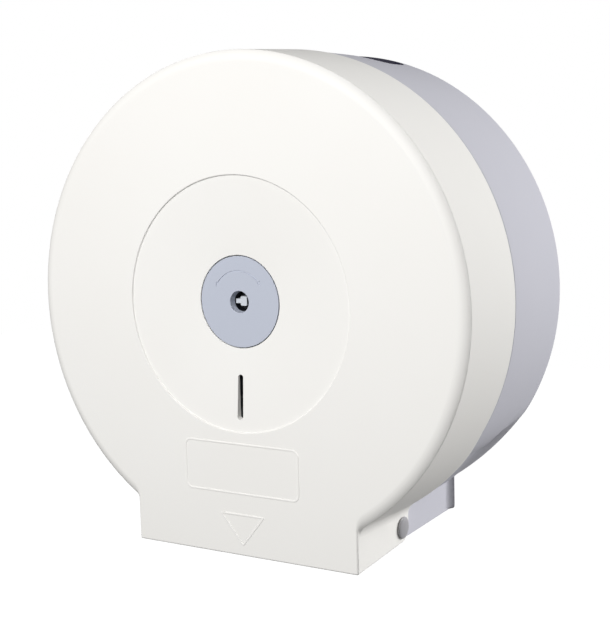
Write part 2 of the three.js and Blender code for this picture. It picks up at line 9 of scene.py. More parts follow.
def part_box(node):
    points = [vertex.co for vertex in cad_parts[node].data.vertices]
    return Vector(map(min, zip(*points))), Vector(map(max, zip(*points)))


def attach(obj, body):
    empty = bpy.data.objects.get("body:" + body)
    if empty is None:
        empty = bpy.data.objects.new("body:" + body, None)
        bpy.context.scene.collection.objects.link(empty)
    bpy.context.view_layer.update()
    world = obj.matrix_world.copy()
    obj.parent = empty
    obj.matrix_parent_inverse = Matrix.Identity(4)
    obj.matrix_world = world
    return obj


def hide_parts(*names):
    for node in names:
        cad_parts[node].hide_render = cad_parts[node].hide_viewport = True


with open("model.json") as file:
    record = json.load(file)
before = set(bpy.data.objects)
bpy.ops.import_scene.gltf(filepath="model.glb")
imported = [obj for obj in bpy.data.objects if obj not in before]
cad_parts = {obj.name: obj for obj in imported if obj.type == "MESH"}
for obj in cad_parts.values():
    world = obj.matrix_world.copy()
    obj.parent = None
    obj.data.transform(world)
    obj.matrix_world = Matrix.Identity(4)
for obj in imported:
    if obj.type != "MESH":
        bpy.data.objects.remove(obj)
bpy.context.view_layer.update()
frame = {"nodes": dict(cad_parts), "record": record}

# Camera: its place was fitted to the photograph's outlines
AZIMUTH = 30.6684
ELEVATION = 7.6676
ROLL = -1.5097
CAMERA_DISTANCE = 0.6088
FOCAL_PIXELS = 1226.05
FRAME_LONG_SIDE = 626
SENSOR_WIDTH = 36.0

# Light; a lamp is its place, its size, its power and whether glossy faces mirror it
WORLD_STRENGTH = 0.18
WORLD_SIZE = 6.0
FLOOR_HEIGHT = -1.2
FLOOR_COLOR = 0.2
FLOOR_LIFT = 1.0
FRONT_LAMP = ((-0.02, -1.06, 0.42), 0.8, 12.0, True)
REAR_LAMP = ((1.2, 1.8, 0.28), 1.3, 84, False)
LAMP_AIM = (0, -0.06, 0)

# Overall sizes
DEPTH = 0.120
FACE = -DEPTH
DRUM_RADIUS = 0.132
DRUM_DROP = 0.0017
GAP = 0.0003
OVERRUN = 0.006
CAMERA_TARGET = (0.0416, FACE, -0.0033)

# Cover
COVER_WALL = 0.0025
FRONT_RADIUS = 0.1295
SHOULDER_WIDTH = 0.0063
SHOULDER_DEPTH = 0.0028
INNER_BEND = 0.005
RIM_EDGE = FACE + 0.0527
EAR_EDGE = FACE + 0.0588
RIM_BEND_TOP = -0.066
RIM_BEND_BOTTOM = -0.090
RIM_ROUND = 0.0008
SHOULDER_EDGE = 0.0007
DISH_RADIUS = 0.0673
DISH_DROP = 0.0013
DISH_STEP = 0.0009
DISH_EDGE = 0.0011
DISH_DEPTH = 0.004
RECESS_ROUND = 0.0002
SLOT_WIDTH = 0.0027
SLOT_TOP = -0.03805
SLOT_BOTTOM = -0.0612
SLOT_FLARE = 0.00025
# The depth from which the slot's walls get painted shade
SLOT_PAINTED_SHADE_FROM = FACE + 0.0042
SLOT_COLLAR = 0.0016
SLOT_COLLAR_BACK = FACE + 0.0069
BEAD_WIDTH = 0.0012
BEAD_HEIGHT = 0.0003
LABEL_HALF_WIDTH = 0.0349
LABEL_TOP = -0.0744
LABEL_BOTTOM = -0.101
LABEL_CORNER = 0.0035
ARROW_HALF_WIDTH = 0.0132
ARROW_TOP = -0.1125
ARROW_TIP = -0.1289
ARROW_CORNER = 0.0008

# Skirt and ears
SKIRT_HALF_WIDTH = 0.0685
SKIRT_INNER_HALF_WIDTH = 0.0663
SKIRT_TOP = -0.090
SKIRT_BOTTOM = -0.1349
SKIRT_RISE = 0.002
SKIRT_ROUND = 0.0012
EAR_CORNER = 0.008
VALLEY_RADIUS = 0.008
VALLEY_ROOT = 0.0012
ROUND_BEVEL = 0.5

# Hinge pins
PIN_PLACE = FACE + 0.0508
PIN_HEIGHT = -0.1242
PIN_RADIUS = 0.003
PIN_HEAD_RADIUS = 0.0059
PIN_HEAD_RIM = 0.0004
PIN_HEAD_DOME = 0.001
CLIP_RADIUS = 0.0055
CLIP_DISH = 0.4
CLIP_BLADE = 0.7
CLIP_EDGE = 0.125
CLIP_SLITS = 3
CLIP_SLIT = 0.0009

# Lock plate, key well and key post
PLATE_RADIUS = 0.0238
PLATE_GAP = 0.0005
PLATE_THICK = 0.003
PLATE_FRONT = FACE + DISH_DEPTH
PLATE_BACK = PLATE_FRONT + PLATE_THICK
RECESS_FLOOR = PLATE_BACK + GAP
COVER_CENTRE_BACK = RECESS_FLOOR + COVER_WALL
BARREL_RADIUS = 0.0095
BARREL_LIP = 0.001
WELL_MOUTH_RADIUS = 0.0057
WELL_MOUTH_DEPTH = 0.0026
WELL_CONE_DEPTH = 0.0037
WELL_RADIUS = 0.0052
WELL_DEPTH = 0.008
CORE_HEAD_RADIUS = 0.005
CORE_HEAD_THICK = 0.0028
STEM_RADIUS = 0.0035
NECK_RADIUS = 0.0024
KEY_POST_WIDTH = 0.004
KEY_POST_HEIGHT = 0.0051
KEY_POST_CORNER = 0.0009
KEY_POST_LENGTH = 0.004
KEY_RIB_HEIGHT = 0.0024
CORE_BORE_RADIUS = 0.0015
CORE_BORE_DEPTH = 0.007
TURN_ARROW_RADIUS = 0.0161
TURN_ARROW_START = 42
TURN_ARROW_END = 144
TURN_ARROW_WIDTH = 0.0007
TURN_ARROW_HEAD = 0.0012
TURN_ARROW_POINT = 8
TURN_ARROW_DEPTH = 0.0003

# Housing; angles are degrees from +X round the drum's centre
HOUSING_RADIUS = DRUM_RADIUS - 0.0003
HOUSING_WALL = 0.0025
PANEL_THICK = 0.003
RIM_GAP = 0.0004
HOUSING_ROUND = 0.0004
INNER_ROUND = 0.0015
FACET_BOTTOM = -57.5
CREASE_AT_WALL = -33.8
CREASE_AT_RIM = -61.8
CREASE_LIMIT = 0.42
ROLL_TOP = -29.0
FLANK_ROLL = 0.0168
ROLL_LIMIT = 0.26
ROLL_POWER = 2.2
CREASE_INSET = 0.0006
FACET_INSET = 0.0012
FACET_FLATNESS = 0.25
LIP_THICK = 0.0016
LIP_REACH = 0.003
LIP_ROOT = 0.007
LIP_LOWEST = -0.060
BOSS_RADIUS = 0.033
BOSS_HEIGHT = 0.005
BOSS_ROUND = 0.0008
OVAL_HALF_WIDTH = 0.0445
OVAL_BACK = -0.0018
OVAL_FRONT = -0.0322
OVAL_CORNER = 0.010
OVAL_LOWEST = 0.115
WALL_HOLE_WIDTH = 0.004
WALL_HOLE_LENGTH = 0.009
WALL_HOLE_SIDE = 0.072
WALL_HOLE_TOPS = (0.062, -0.056)
STUB_INSET = 0.0035
STUB_HEIGHT = 0.0009
RIB_COUNT = 12
RIB_THICK = 0.0014
RIB_HEIGHT = 0.0011
RIB_REACH = 0.127
RIB_LOWEST = -0.8

# Throat
CHEEK_HALF_WIDTH = 0.066
CHEEK_THICK = 0.003
THROAT_BOTTOM = -0.1326
NOSE_RADIUS = 0.0083
FLANGE_HALF_WIDTH = 0.0685
FLANGE_THICK = 0.0045
FLANGE_COVE = 0.0075
FLANGE_TOP = -0.100
FLANGE_CORNER = 0.002
CUP_LOWEST = -0.122

# Spindle, keeper, hub and adapter
TUBE_ROUND = 0.0006
POST_RADIUS = 0.020
POST_WALL = 0.0025
POST_FLANGE_RADIUS = 0.030
SCREW_COUNT = 3
SCREW_CIRCLE = 0.025
SCREW_RADIUS = 0.0017
SCREW_HEAD_RADIUS = 0.0034
SCREW_HEAD_HEIGHT = 0.002
KEEPER_RADIUS = 0.0235
KEEPER_THICK = 0.0023
KEEPER_SPIGOT = 0.0172
KEEPER_SPIGOT_WALL = 0.0018
KEEPER_SLOT = (0.013, 0.0070, 0.0042)
KEEPER_SLOT_CORNER = 0.002
HUB_BORE = 0.0204
HUB_RADIUS = 0.024
HUB_FLANGE_RADIUS = 0.044
HUB_FLANGE_THICK = 0.003
HUB_ROUND = 0.0007
ADAPTER_BORE = 0.0243
ADAPTER_WALL = 0.0025
ADAPTER_ROUND = 0.0005
FIN_COUNT = 6
FIN_THICK = 0.0024
FIN_RADIUS = 0.0365
FIN_LEAD = 0.006
FIN_CORNER = 0.001

# Nut, cam, washer and tear bars
NUT_HALF_FLATS = 0.013
NUT_CHAMFER = 0.6
CAM_LENGTH = 0.024
CAM_HEIGHT = 0.007
WASHER_RADIUS = 0.0075
NOTCH_RADIUS = 0.0009
BAR_HALF_WIDTH = 0.058
BAR_HEIGHT = 0.0075
BAR_EDGE = 0.0001
TOOTH_HEIGHT = 0.0022
TOOTH_COUNT = 29

# Rivets and screws; shares are of a head's height or radius
RIVET_SIDE = 0.046
RIVET_RADIUS = 0.0014
RIVET_HEAD_RADIUS = 0.0028
RIVET_HEAD_HEIGHT = 0.0011
CAM_SCREW_RADIUS = 0.0012
CAM_SCREW_HEAD_RADIUS = 0.003
CAM_SCREW_HEAD_HEIGHT = 0.0019
HEAD_RIM_SHARE = 0.35
CROSS_LENGTH = 0.62
CROSS_WIDTH = 0.13
CROSS_DEPTH = 0.55

# Fineness
DRUM_SIDES = 288
TUBE_SIDES = 96
SMALL_SIDES = 48
BEAD_SIDES = 12
ARC_STEPS = 14
SHOULDER_STEPS = 16
BEND_STEPS = 12
EDGE_STEPS = 3
RIM_STEPS = 5
TRIM_STEPS = 6
SLOT_STEPS = 8
COVE_STEPS = 10
TURN_ARROW_STEPS = 40
HOUSING_ROWS = 12
FACET_STEPS = 12
ROLL_STEPS = 8
CROWN_STEPS = 98
PIN_DOME_STEP = 6
HEAD_DOME_STEP = 10
BEAD_STEP = 0.002
SAME_POINT = 1e-7
CORNER_SHARE = 0.45
MITRE_LIMIT = 0.4
FACING_LIMIT = 0.5
SMALL_EDGE = 0.0003
SMOOTH_ANGLE = math.radians(32)
STRAIGHT_ANGLE = math.radians(150)


# Mesh helpers
def link(name, bm):
    bmesh.ops.recalc_face_normals(bm, faces=bm.faces[:])
    mesh = bpy.data.meshes.new(name)
    bm.to_mesh(mesh)
    bm.free()
    piece = bpy.data.objects.new(name, mesh)
    bpy.context.scene.collection.objects.link(piece)
    return piece


def skin(name, rings, loop=False):
    """A closed body through rings of points. A ring of one point closes to a tip, and a wider
    first or last ring gets a flat cap. With loop the last ring joins the first."""
    bm = bmesh.new()
    made = [[bm.verts.new(p) for p in ring] for ring in rings]
    pairs = list(zip(made, made[1:]))
    if loop:
        pairs.append((made[-1], made[0]))
    for near, far in pairs:
        count = max(len(near), len(far))
        for i in range(count):
            j = (i + 1) % count
            corners = (near[i % len(near)], near[j % len(near)],
                       far[j % len(far)], far[i % len(far)])
            bm.faces.new(list(dict.fromkeys(corners)))
    if not loop:
        for end in (made[0], made[-1]):
            if len(end) > 2:
                bm.faces.new(end)
    return link(name, bm)


def circle(radius, y, height, sides=DRUM_SIDES):
    """A ring of points round an axis along Y, or its one point where the radius is zero."""
    if radius == 0:
        return [(0.0, y, height)]
    turns = [2 * math.pi * i / sides for i in range(sides)]
    return [(radius * math.sin(t), y, height + radius * math.cos(t)) for t in turns]


def revolve(name, profile, sides, height=0.0, loop=False):
    """Turns a list of (radius, y) about the Y axis through the given height."""
    return skin(name, [circle(radius, y, height, sides) for radius, y in profile], loop)


def quarter(steps):
    """The angles of a quarter turn in equal steps, ends included."""
    return [math.pi / 2 * k / steps for k in range(steps + 1)]


def soften(outline, radius, on_axis=False, steps=EDGE_STEPS):
    """The closed outline with its sharp corners rounded; on_axis leaves points at zero alone."""
    result = []
    for i, point in enumerate(outline):
        here = Vector(point)
        to_before = Vector(outline[i - 1]) - here
        to_after = Vector(outline[(i + 1) % len(outline)]) - here
        if (on_axis and point[0] == 0) or to_before.angle(to_after) > STRAIGHT_ANGLE:
            result.append(tuple(here))
            continue
        reach = min(radius, to_before.length * CORNER_SHARE, to_after.length * CORNER_SHARE)
        start = here + to_before.normalized() * reach
        end = here + to_after.normalized() * reach
        for k in range(steps + 1):
            t = k / steps
            result.append(tuple(start * (1 - t) ** 2 + here * (2 * t * (1 - t)) + end * t ** 2))
    return result


def turned(name, profile, edge=SMALL_EDGE, sides=TUBE_SIDES, x=0.0, z=0.0):
    """A body turned about an axis along Y through (x, z), with its corners rounded."""
    body = revolve(name, soften(profile, edge, True), sides, loop=profile[0][0] > 0)
    body.data.transform(Matrix.Translation((x, 0.0, z)))
    return body


def arc(centre_a, centre_b, radius, start, end, steps=ARC_STEPS):
    """Points round a centre, from one angle to another in degrees, ends included."""
    turns = [math.radians(start + (end - start) * i / steps) for i in range(steps + 1)]
    return [(centre_a + radius * math.cos(t), centre_b + radius * math.sin(t)) for t in turns]


def between(start, end, count):
    """Evenly spaced points from start up to, but without, end."""
    return [tuple(Vector(start).lerp(Vector(end), i / count)) for i in range(count)]


def rounded_rectangle(left, right, low, high, radius, steps=ARC_STEPS):
    return (arc(right - radius, low + radius, radius, -90, 0, steps)
            + arc(right - radius, high - radius, radius, 0, 90, steps)
            + arc(left + radius, high - radius, radius, 90, 180, steps)
            + arc(left + radius, low + radius, radius, 180, 270, steps))


def inset(outline, amount):
    """The outline with its points moved inwards by an amount that is small beside its corners."""
    area = sum(a[0] * b[1] - b[0] * a[1] for a, b in zip(outline, outline[1:] + outline[:1]))
    moved = []
    for i, point in enumerate(outline):
        here = Vector(point)
        first = (here - Vector(outline[i - 1])).normalized()
        second = (Vector(outline[(i + 1) % len(outline)]) - here).normalized()
        along = (first + second).normalized()
        inward = Vector((-along.y, along.x)) * (amount if area > 0 else -amount)
        moved.append(tuple(here + inward / max(MITRE_LIMIT, along.dot(second))))
    return moved


def along_x(y, z, x):
    return (x, y, z)


def along_y(x, z, y):
    return (x, y, z)


def along_z(x, y, z):
    return (x, y, z)


def slab(name, outline, start, end, place, edge=0.0):
    """A plate with an outline, between two depths along one axis, with its edges rounded."""
    levels = [(0.0, 0.0)]
    if edge > 0:
        levels = [(edge * (1 - math.sin(t)), edge * (1 - math.cos(t))) for t in quarter(EDGE_STEPS)]
    rings = [(start + rise, drawn) for drawn, rise in levels]
    rings += [(end - rise, drawn) for drawn, rise in reversed(levels)]
    return skin(name, [[place(a, b, depth) for a, b in inset(outline, drawn)]
                       for depth, drawn in rings])


def box_outline(left, right, low, high):
    return [(left, low), (right, low), (right, high), (left, high)]


def rod(name, radius, start, end, a=0.0, b=0.0, sides=TUBE_SIDES, place=along_y):
    """A round bar through (a, b), along Y unless place says otherwise, used as a cutter."""
    return slab(name, arc(a, b, radius, 0, 360 - 360 / sides, sides - 1), start, end, place)


def spun(piece, turn):
    """The piece, turned about the Y axis."""
    piece.data.transform(Matrix.Rotation(turn, 4, "Y"))
    return piece


def combine(piece, other, operation):
    """Joins or cuts piece with other, which is used up."""
    modifier = piece.modifiers.new("combine", "BOOLEAN")
    modifier.operation = operation
    modifier.solver = "MANIFOLD"
    modifier.object = other
    graph = bpy.context.evaluated_depsgraph_get()
    result = bpy.data.meshes.new_from_object(piece.evaluated_get(graph))
    piece.modifiers.clear()
    old = piece.data
    piece.data = result
    bpy.data.meshes.remove(old)
    bpy.data.meshes.remove(other.data)
    return piece


def cut(piece, other):
    return combine(piece, other, "DIFFERENCE")


def join(piece, other):
    return combine(piece, other, "UNION")


def shade(piece, material):
    """Smooth shading that keeps flat faces flat and edges over the smooth angle sharp."""
    mesh = piece.data
    mesh.materials.clear()
    mesh.materials.append(material)
    mesh.polygons.foreach_set("use_smooth", [True] * len(mesh.polygons))
    mesh.set_sharp_from_angle(angle=SMOOTH_ANGLE)
    weighted = piece.modifiers.new("weighted", "WEIGHTED_NORMAL")
    weighted.keep_sharp = True
    weighted.weight = 100
    return piece


def paint(piece, material, wanted):
    """Gives another material to the faces whose centre and normal are wanted."""
    piece.data.materials.append(MATERIALS[material])
    for face in piece.data.polygons:
        if wanted(face.center, face.normal):
            face.material_index = len(piece.data.materials) - 1


# Materials
def new_material(name):
    material = bpy.data.materials.new(name)
    material.use_nodes = True
    return material, material.node_tree.nodes, material.node_tree.nodes["Principled BSDF"]


def fill(node, values):
    """Sets inputs of a node by name or number, and returns the node."""
    for name, value in values.items():
        node.inputs[name].default_value = value
    return node


def add(nodes, kind, values):
    return fill(nodes.new("ShaderNode" + kind), values)


def feed(node, output, *targets):
    """Links an output to inputs, each given as a node and the input's name or number."""
    for target, name in targets:
        node.id_data.links.new(node.outputs[output], target.inputs[name])


def color_mix(nodes, first, second):
    mix = nodes.new("ShaderNodeMix")
    mix.data_type = "RGBA"
    return fill(mix, {"A": first, "B": second})


def srgb(red, green, blue):
    def linear(value):
        share = value / 255
        return share / 12.92 if share <= 0.04045 else ((share + 0.055) / 1.055) ** 2.4
    return (linear(red), linear(green), linear(blue), 1.0)


def moulded_plastic(name, color, shade_color, roughness, grain_scale, grain_depth):
    """Moulded plastic: a fine skin grain, a slow drift of colour and a slightly uneven gloss."""
    material, nodes, bsdf = new_material(name)
    place = nodes.new("ShaderNodeTexCoord")
    drift = add(nodes, "TexNoise", {"Scale": 14, "Detail": 3})
    mix = color_mix(nodes, srgb(*color), srgb(*shade_color))
    gloss = add(nodes, "MapRange", {"To Min": roughness - 0.04, "To Max": roughness + 0.04})
    grain = add(nodes, "TexNoise", {"Scale": grain_scale, "Detail": 4, "Roughness": 0.6})
    bump = add(nodes, "Bump", {"Strength": 0.35, "Distance": grain_depth})
    feed(place, "Object", (drift, "Vector"), (grain, "Vector"))
    feed(drift, "Fac", (mix, "Factor"), (gloss, "Value"))
    feed(mix, "Result", (bsdf, "Base Color"))
    feed(gloss, "Result", (bsdf, "Roughness"))
    feed(grain, "Fac", (bump, "Height"))
    feed(bump, "Normal", (bsdf, "Normal"))
    fill(bsdf, {"Specular IOR Level": 0.2})
    return material


def brushed_metal(name, color, roughness, stretch, metallic):
    """Metal with fine lines drawn along X and small changes of gloss."""
    material, nodes, bsdf = new_material(name)
    place = nodes.new("ShaderNodeTexCoord")
    mapping = add(nodes, "Mapping", {"Scale": (stretch, 1.0, 1.0)})
    lines = add(nodes, "TexNoise", {"Scale": 2600, "Detail": 2})
    gloss = add(nodes, "MapRange", {"To Min": roughness - 0.06, "To Max": roughness + 0.08})
    bump = add(nodes, "Bump", {"Strength": 0.2, "Distance": 0.00002})
    bright = srgb(*color)
    tint = color_mix(nodes, bright, tuple(c * 0.86 for c in bright[:3]) + (1.0,))
    feed(place, "Object", (mapping, "Vector"))
    feed(mapping, "Vector", (lines, "Vector"))
    feed(lines, "Fac", (gloss, "Value"), (bump, "Height"), (tint, "Factor"))
    feed(tint, "Result", (bsdf, "Base Color"))
    feed(gloss, "Result", (bsdf, "Roughness"))
    feed(bump, "Normal", (bsdf, "Normal"))
    fill(bsdf, {"Metallic": metallic})
    return material


# Colour, second colour, roughness, and the grain's scale and depth of each plastic
PLASTICS = {
    "cover_white": ((240, 239, 236), (237, 235, 231), 0.50, 900, 0.00004),
    "housing_grey": ((199, 199, 207), (195, 195, 204), 0.50, 900, 0.00004),
    "lock_grey": ((189, 194, 207), (185, 190, 203), 0.40, 1400, 0.00003),
    "dark_plastic": ((111, 116, 124), (102, 107, 115), 0.50, 1200, 0.00003),
    "adapter_white": ((226, 226, 223), (220, 220, 217), 0.50, 1200, 0.00003),
    "key_grey": ((205, 209, 215), (199, 203, 210), 0.35, 1400, 0.00002),
    # Painted shade: the next two near-black colours stand in for shade inside the oval hole, the
    # viewing slot and the key well
    "oval_hole_painted_shade": ((44, 43, 62), (34, 33, 48), 0.45, 1200, 0.00003),
    "recess_painted_shade": ((30, 31, 38), (22, 23, 29), 0.45, 1200, 0.00003),
}
# Colour, roughness, stretch of the drawn lines, and metallic share of each metal
METALS = {
    "steel": ((190, 193, 196), 0.30, 0.03, 0.9),
    "zinc": ((206, 205, 209), 0.42, 0.6, 0.4),
}
MATERIALS = {name: moulded_plastic(name, *values) for name, values in PLASTICS.items()}
MATERIALS.update({name: brushed_metal(name, *values) for name, values in METALS.items()})

RECORD = frame["record"]
SLOT_OF = {subpart["node"]: subpart["material_slot"] for subpart in RECORD["subparts"]}
BODY_OF = {node: body for body, nodes in RECORD["behaviour"]["bodies"].items() for node in nodes}


def settle(piece, node, material=None):
    """Gives a piece the node's finish and body, and hides the node that it stands in for."""
    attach(shade(piece, MATERIALS[material or SLOT_OF[node]]), BODY_OF[node])
    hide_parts(node)
    return piece


def ends_of(node):
    """The front and back ends of a node's box."""
    low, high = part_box(node)
    return low.y, high.y


def front_of(node):
    return ends_of(node)[0]


def back_of(node):
    return ends_of(node)[1]


def middle_of(node):
    """The middle of a node's box in x and z."""
    low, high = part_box(node)
    return (low.x + high.x) / 2, (low.z + high.z) / 2


# Cover
def rim_edge(height, shift=0.0):
    """Where the cover's open edge lies at a height: it runs back smoothly to the ears."""
    share = (height - RIM_BEND_TOP) / (RIM_BEND_BOTTOM - RIM_BEND_TOP)
    share = min(1.0, max(0.0, share))
    smooth = share * share * (3 - 2 * share)
    return RIM_EDGE + (EAR_EDGE - RIM_EDGE) * smooth + shift


SHOULDER_TURN = 2 * math.degrees(math.atan2(SHOULDER_DEPTH, SHOULDER_WIDTH))
SHOULDER_RADIUS = SHOULDER_WIDTH / math.sin(math.radians(SHOULDER_TURN))
SIDE_SLOPE = (DRUM_RADIUS - FRONT_RADIUS) / (RIM_EDGE - 2 * RIM_ROUND - FACE - SHOULDER_DEPTH)


def side_radius(y):
    """The radius of the cover's drum at a depth: a round shoulder, then a slightly sloping side."""
    depth = y - FACE
    if depth < SHOULDER_DEPTH:
        rise = SHOULDER_RADIUS - depth
        return FRONT_RADIUS - SHOULDER_WIDTH + math.sqrt(SHOULDER_RADIUS ** 2 - rise ** 2)
    return min(DRUM_RADIUS, FRONT_RADIUS + (depth - SHOULDER_DEPTH) * SIDE_SLOPE)


def drum_shell():
    """The cover's drum as one closed shell, its rim's edge rounded and bent back at the ears."""
    shoulder = arc(FRONT_RADIUS - SHOULDER_WIDTH, FACE + SHOULDER_RADIUS, SHOULDER_RADIUS,
                   -90, SHOULDER_TURN - 90, SHOULDER_STEPS)
    line = shoulder + [(FRONT_RADIUS + OVERRUN * SIDE_SLOPE, FACE + SHOULDER_DEPTH + OVERRUN)]
    outer = [(0.0, FACE)] + soften(line, SHOULDER_EDGE)[EDGE_STEPS + 1:-EDGE_STEPS - 1]
    outer.append((DRUM_RADIUS, RIM_EDGE - 2 * RIM_ROUND))
    inner_radius = DRUM_RADIUS - COVER_WALL
    inner = arc(FRONT_RADIUS - COVER_WALL - INNER_BEND, FACE + COVER_WALL + INNER_BEND,
                INNER_BEND, 0, -90, BEND_STEPS)
    inner.append((0.0, FACE + COVER_WALL))
    rim = [(DRUM_RADIUS - RIM_ROUND + a, b - RIM_ROUND)
           for a, b in arc(0, 0, RIM_ROUND, 0, 90, RIM_STEPS)]
    rim += [(inner_radius + RIM_ROUND + a, b - RIM_ROUND)
            for a, b in arc(0, 0, RIM_ROUND, 90, 180, RIM_STEPS)]
    edge = [rim_edge(z) for x, y, z in circle(DRUM_RADIUS, 0.0, -DRUM_DROP)]
    rings = [circle(radius, y, -DRUM_DROP) for radius, y in outer]
    for radius, rise in rim:
        ring = circle(radius, rise, -DRUM_DROP)
        rings.append([(x, y + shift, z) for (x, y, z), shift in zip(ring, edge)])
    rings += [circle(radius, y, -DRUM_DROP) for radius, y in inner]
    return skin("cover_shell", rings)


def drawn_in(y, radius, front=True):
    """How far a rounded edge draws a side in at a depth between the face and the ears' edge."""
    near = min(y - FACE if front else radius, EAR_EDGE - y, radius)
    return radius - math.sqrt(radius ** 2 - (radius - near) ** 2)


def valley(side):
    """The soft valley where the drum's side meets the skirt's."""
    rings = []
    front = FACE + SHOULDER_DEPTH
    back = EAR_EDGE - SKIRT_ROUND
    depths = [FACE + SHOULDER_DEPTH * (1 - math.cos(t)) for t in quarter(BEND_STEPS)[1:]]
    depths += [front + (back - front) * i / BEND_STEPS for i in range(1, BEND_STEPS)]
    depths += [back + SKIRT_ROUND * math.sin(t) for t in quarter(RIM_STEPS)]
    for y in depths:
        drum = side_radius(y) - drawn_in(y, RIM_ROUND, False)
        wall = SKIRT_HALF_WIDTH - drawn_in(y, SKIRT_ROUND)
        reach = drum + VALLEY_RADIUS
        centre = Vector((wall + VALLEY_RADIUS, -math.sqrt(reach ** 2 - (wall + VALLEY_RADIUS) ** 2)))
        end = 180 + math.degrees(math.atan2(centre.y, centre.x))
        section = arc(centre.x, centre.y, VALLEY_RADIUS, 180, end, ARC_STEPS)
        corner = -math.sqrt(drum ** 2 - wall ** 2)
        inner = centre * (drum - VALLEY_ROOT) / reach
        root = wall - VALLEY_ROOT
        section += [tuple(inner), (root, corner + VALLEY_ROOT), (root, centre.y)]
        rings.append([(side * x, y, z - DRUM_DROP) for x, z in section])
    return skin("valley", rings)


def skirt_block():
    """The block below the drum, with its ears and its rounded edges."""
    ear_bottom = SKIRT_BOTTOM + SKIRT_RISE
    side = [(FACE, SKIRT_TOP), (FACE, SKIRT_BOTTOM)]
    side += arc(EAR_EDGE - EAR_CORNER, ear_bottom + EAR_CORNER, EAR_CORNER, -90, 0,
                SHOULDER_STEPS)
    side.append((EAR_EDGE, SKIRT_TOP))
    block = slab("skirt", side, -SKIRT_HALF_WIDTH, SKIRT_HALF_WIDTH, along_x)
    bm = bmesh.new()
    bm.from_mesh(block.data)
    low = SKIRT_TOP - SKIRT_ROUND / 2
    edges = [e for e in bm.edges if e.calc_face_angle(0) > SMOOTH_ANGLE
             and min(v.co.z for v in e.verts) < low]
    bmesh.ops.bevel(bm, geom=edges, offset=SKIRT_ROUND, segments=RIM_STEPS, profile=ROUND_BEVEL,
                    affect="EDGES", clamp_overlap=True)
    bm.to_mesh(block.data)
    bm.free()
    return block


def drum_room():
    """The space inside the drum, reaching a little into its wall."""
    front = FACE + COVER_WALL - GAP
    near = FRONT_RADIUS - COVER_WALL + GAP
    profile = [(0.0, front)]
    profile += arc(near - INNER_BEND, front + INNER_BEND, INNER_BEND, -90, 0, BEND_STEPS)
    far = near - FRONT_RADIUS + DRUM_RADIUS
    profile += [(far, RIM_EDGE), (far, OVERRUN), (0.0, OVERRUN)]
    return revolve("room", profile, DRUM_SIDES, -DRUM_DROP)


RECESS_RADIUS = PLATE_RADIUS + PLATE_GAP
DISH_FLOOR_RADIUS = DISH_RADIUS - DISH_EDGE
DISH_SLOPE = (DISH_DEPTH - DISH_STEP) / (DISH_FLOOR_RADIUS - RECESS_RADIUS)


def dished(name, profile):
    """Turns a profile about the lock's axis at the recess and about the dish's lower centre at
    its edge."""
    rings = []
    for radius, y in profile:
        share = (radius - RECESS_RADIUS) / (DISH_FLOOR_RADIUS - RECESS_RADIUS)
        rings.append(circle(radius, y, -DISH_DROP * min(1.0, max(0.0, share))))
    return skin(name, rings)


def dish_cutter():
    turn = 2 * math.degrees(math.atan2(DISH_STEP, DISH_EDGE))
    bend = DISH_EDGE / 2 / math.sin(math.radians(turn))
    profile = [(0.0, FACE - OVERRUN), (DISH_RADIUS, FACE - OVERRUN)]
    profile += arc(DISH_RADIUS, FACE + bend, bend, -90, -90 - turn, TRIM_STEPS)
    profile += arc(DISH_FLOOR_RADIUS, FACE + DISH_STEP - bend, bend, 90 - turn, 90, TRIM_STEPS)[1:]
    profile += [(RECESS_RADIUS + RECESS_ROUND, PLATE_FRONT - RECESS_ROUND * DISH_SLOPE),
                (RECESS_RADIUS, PLATE_FRONT + RECESS_ROUND), (RECESS_RADIUS, RECESS_FLOOR),
                (0.0, RECESS_FLOOR)]
    return dished("dish", profile)


def dish_backing():
    outer = DISH_RADIUS + COVER_WALL
    recess = RECESS_RADIUS + COVER_WALL
    profile = [(0.0, FACE + GAP), (outer, FACE + GAP), (outer, FACE + DISH_STEP + COVER_WALL),
               (recess, PLATE_FRONT + COVER_WALL), (recess, COVER_CENTRE_BACK),
               (0.0, COVER_CENTRE_BACK)]
    return dished("backing", profile)


def bead(name, path):
    """A raised line with a rounded back along a closed path in x and z on the cover's face."""
    rings = []
    for k in range(BEAD_SIDES):
        turn = 2 * math.pi * k / BEAD_SIDES
        y = FACE - BEAD_HEIGHT * math.sin(turn)
        rings.append([(x, y, z) for x, z in inset(path, BEAD_WIDTH / 2 * math.cos(turn))])
    return skin(name, rings, loop=True)


def dense(path):
    """The same closed path with more points on its straight stretches."""
    points = []
    for i, here in enumerate(path):
        after = path[(i + 1) % len(path)]
        length = math.dist(here, after)
        if length > SAME_POINT:
            points += between(here, after, max(1, int(length / BEAD_STEP)))
    return points


def slot_outline(grow):
    """The viewing slot's outline in x and z, larger by grow on every side."""
    half = SLOT_WIDTH / 2 + grow
    return rounded_rectangle(-half, half, SLOT_BOTTOM - grow, SLOT_TOP + grow, half, SLOT_STEPS)


def slot_cutter():
    levels = ((SLOT_FLARE * 2, FACE - OVERRUN), (SLOT_FLARE * 2, FACE + DISH_STEP),
              (0.0, FACE + DISH_DEPTH), (0.0, SLOT_PAINTED_SHADE_FROM), (0.0, SLOT_COLLAR_BACK + OVERRUN))
    return skin("slot", [[(x, y, z) for x, z in slot_outline(grow)] for grow, y in levels])


def pin_bore():
    """The cutter of both hinge pins' bores."""
    return rod("pin_bore", PIN_RADIUS + GAP, -DRUM_RADIUS, DRUM_RADIUS, PIN_PLACE, PIN_HEIGHT,
               place=along_x)


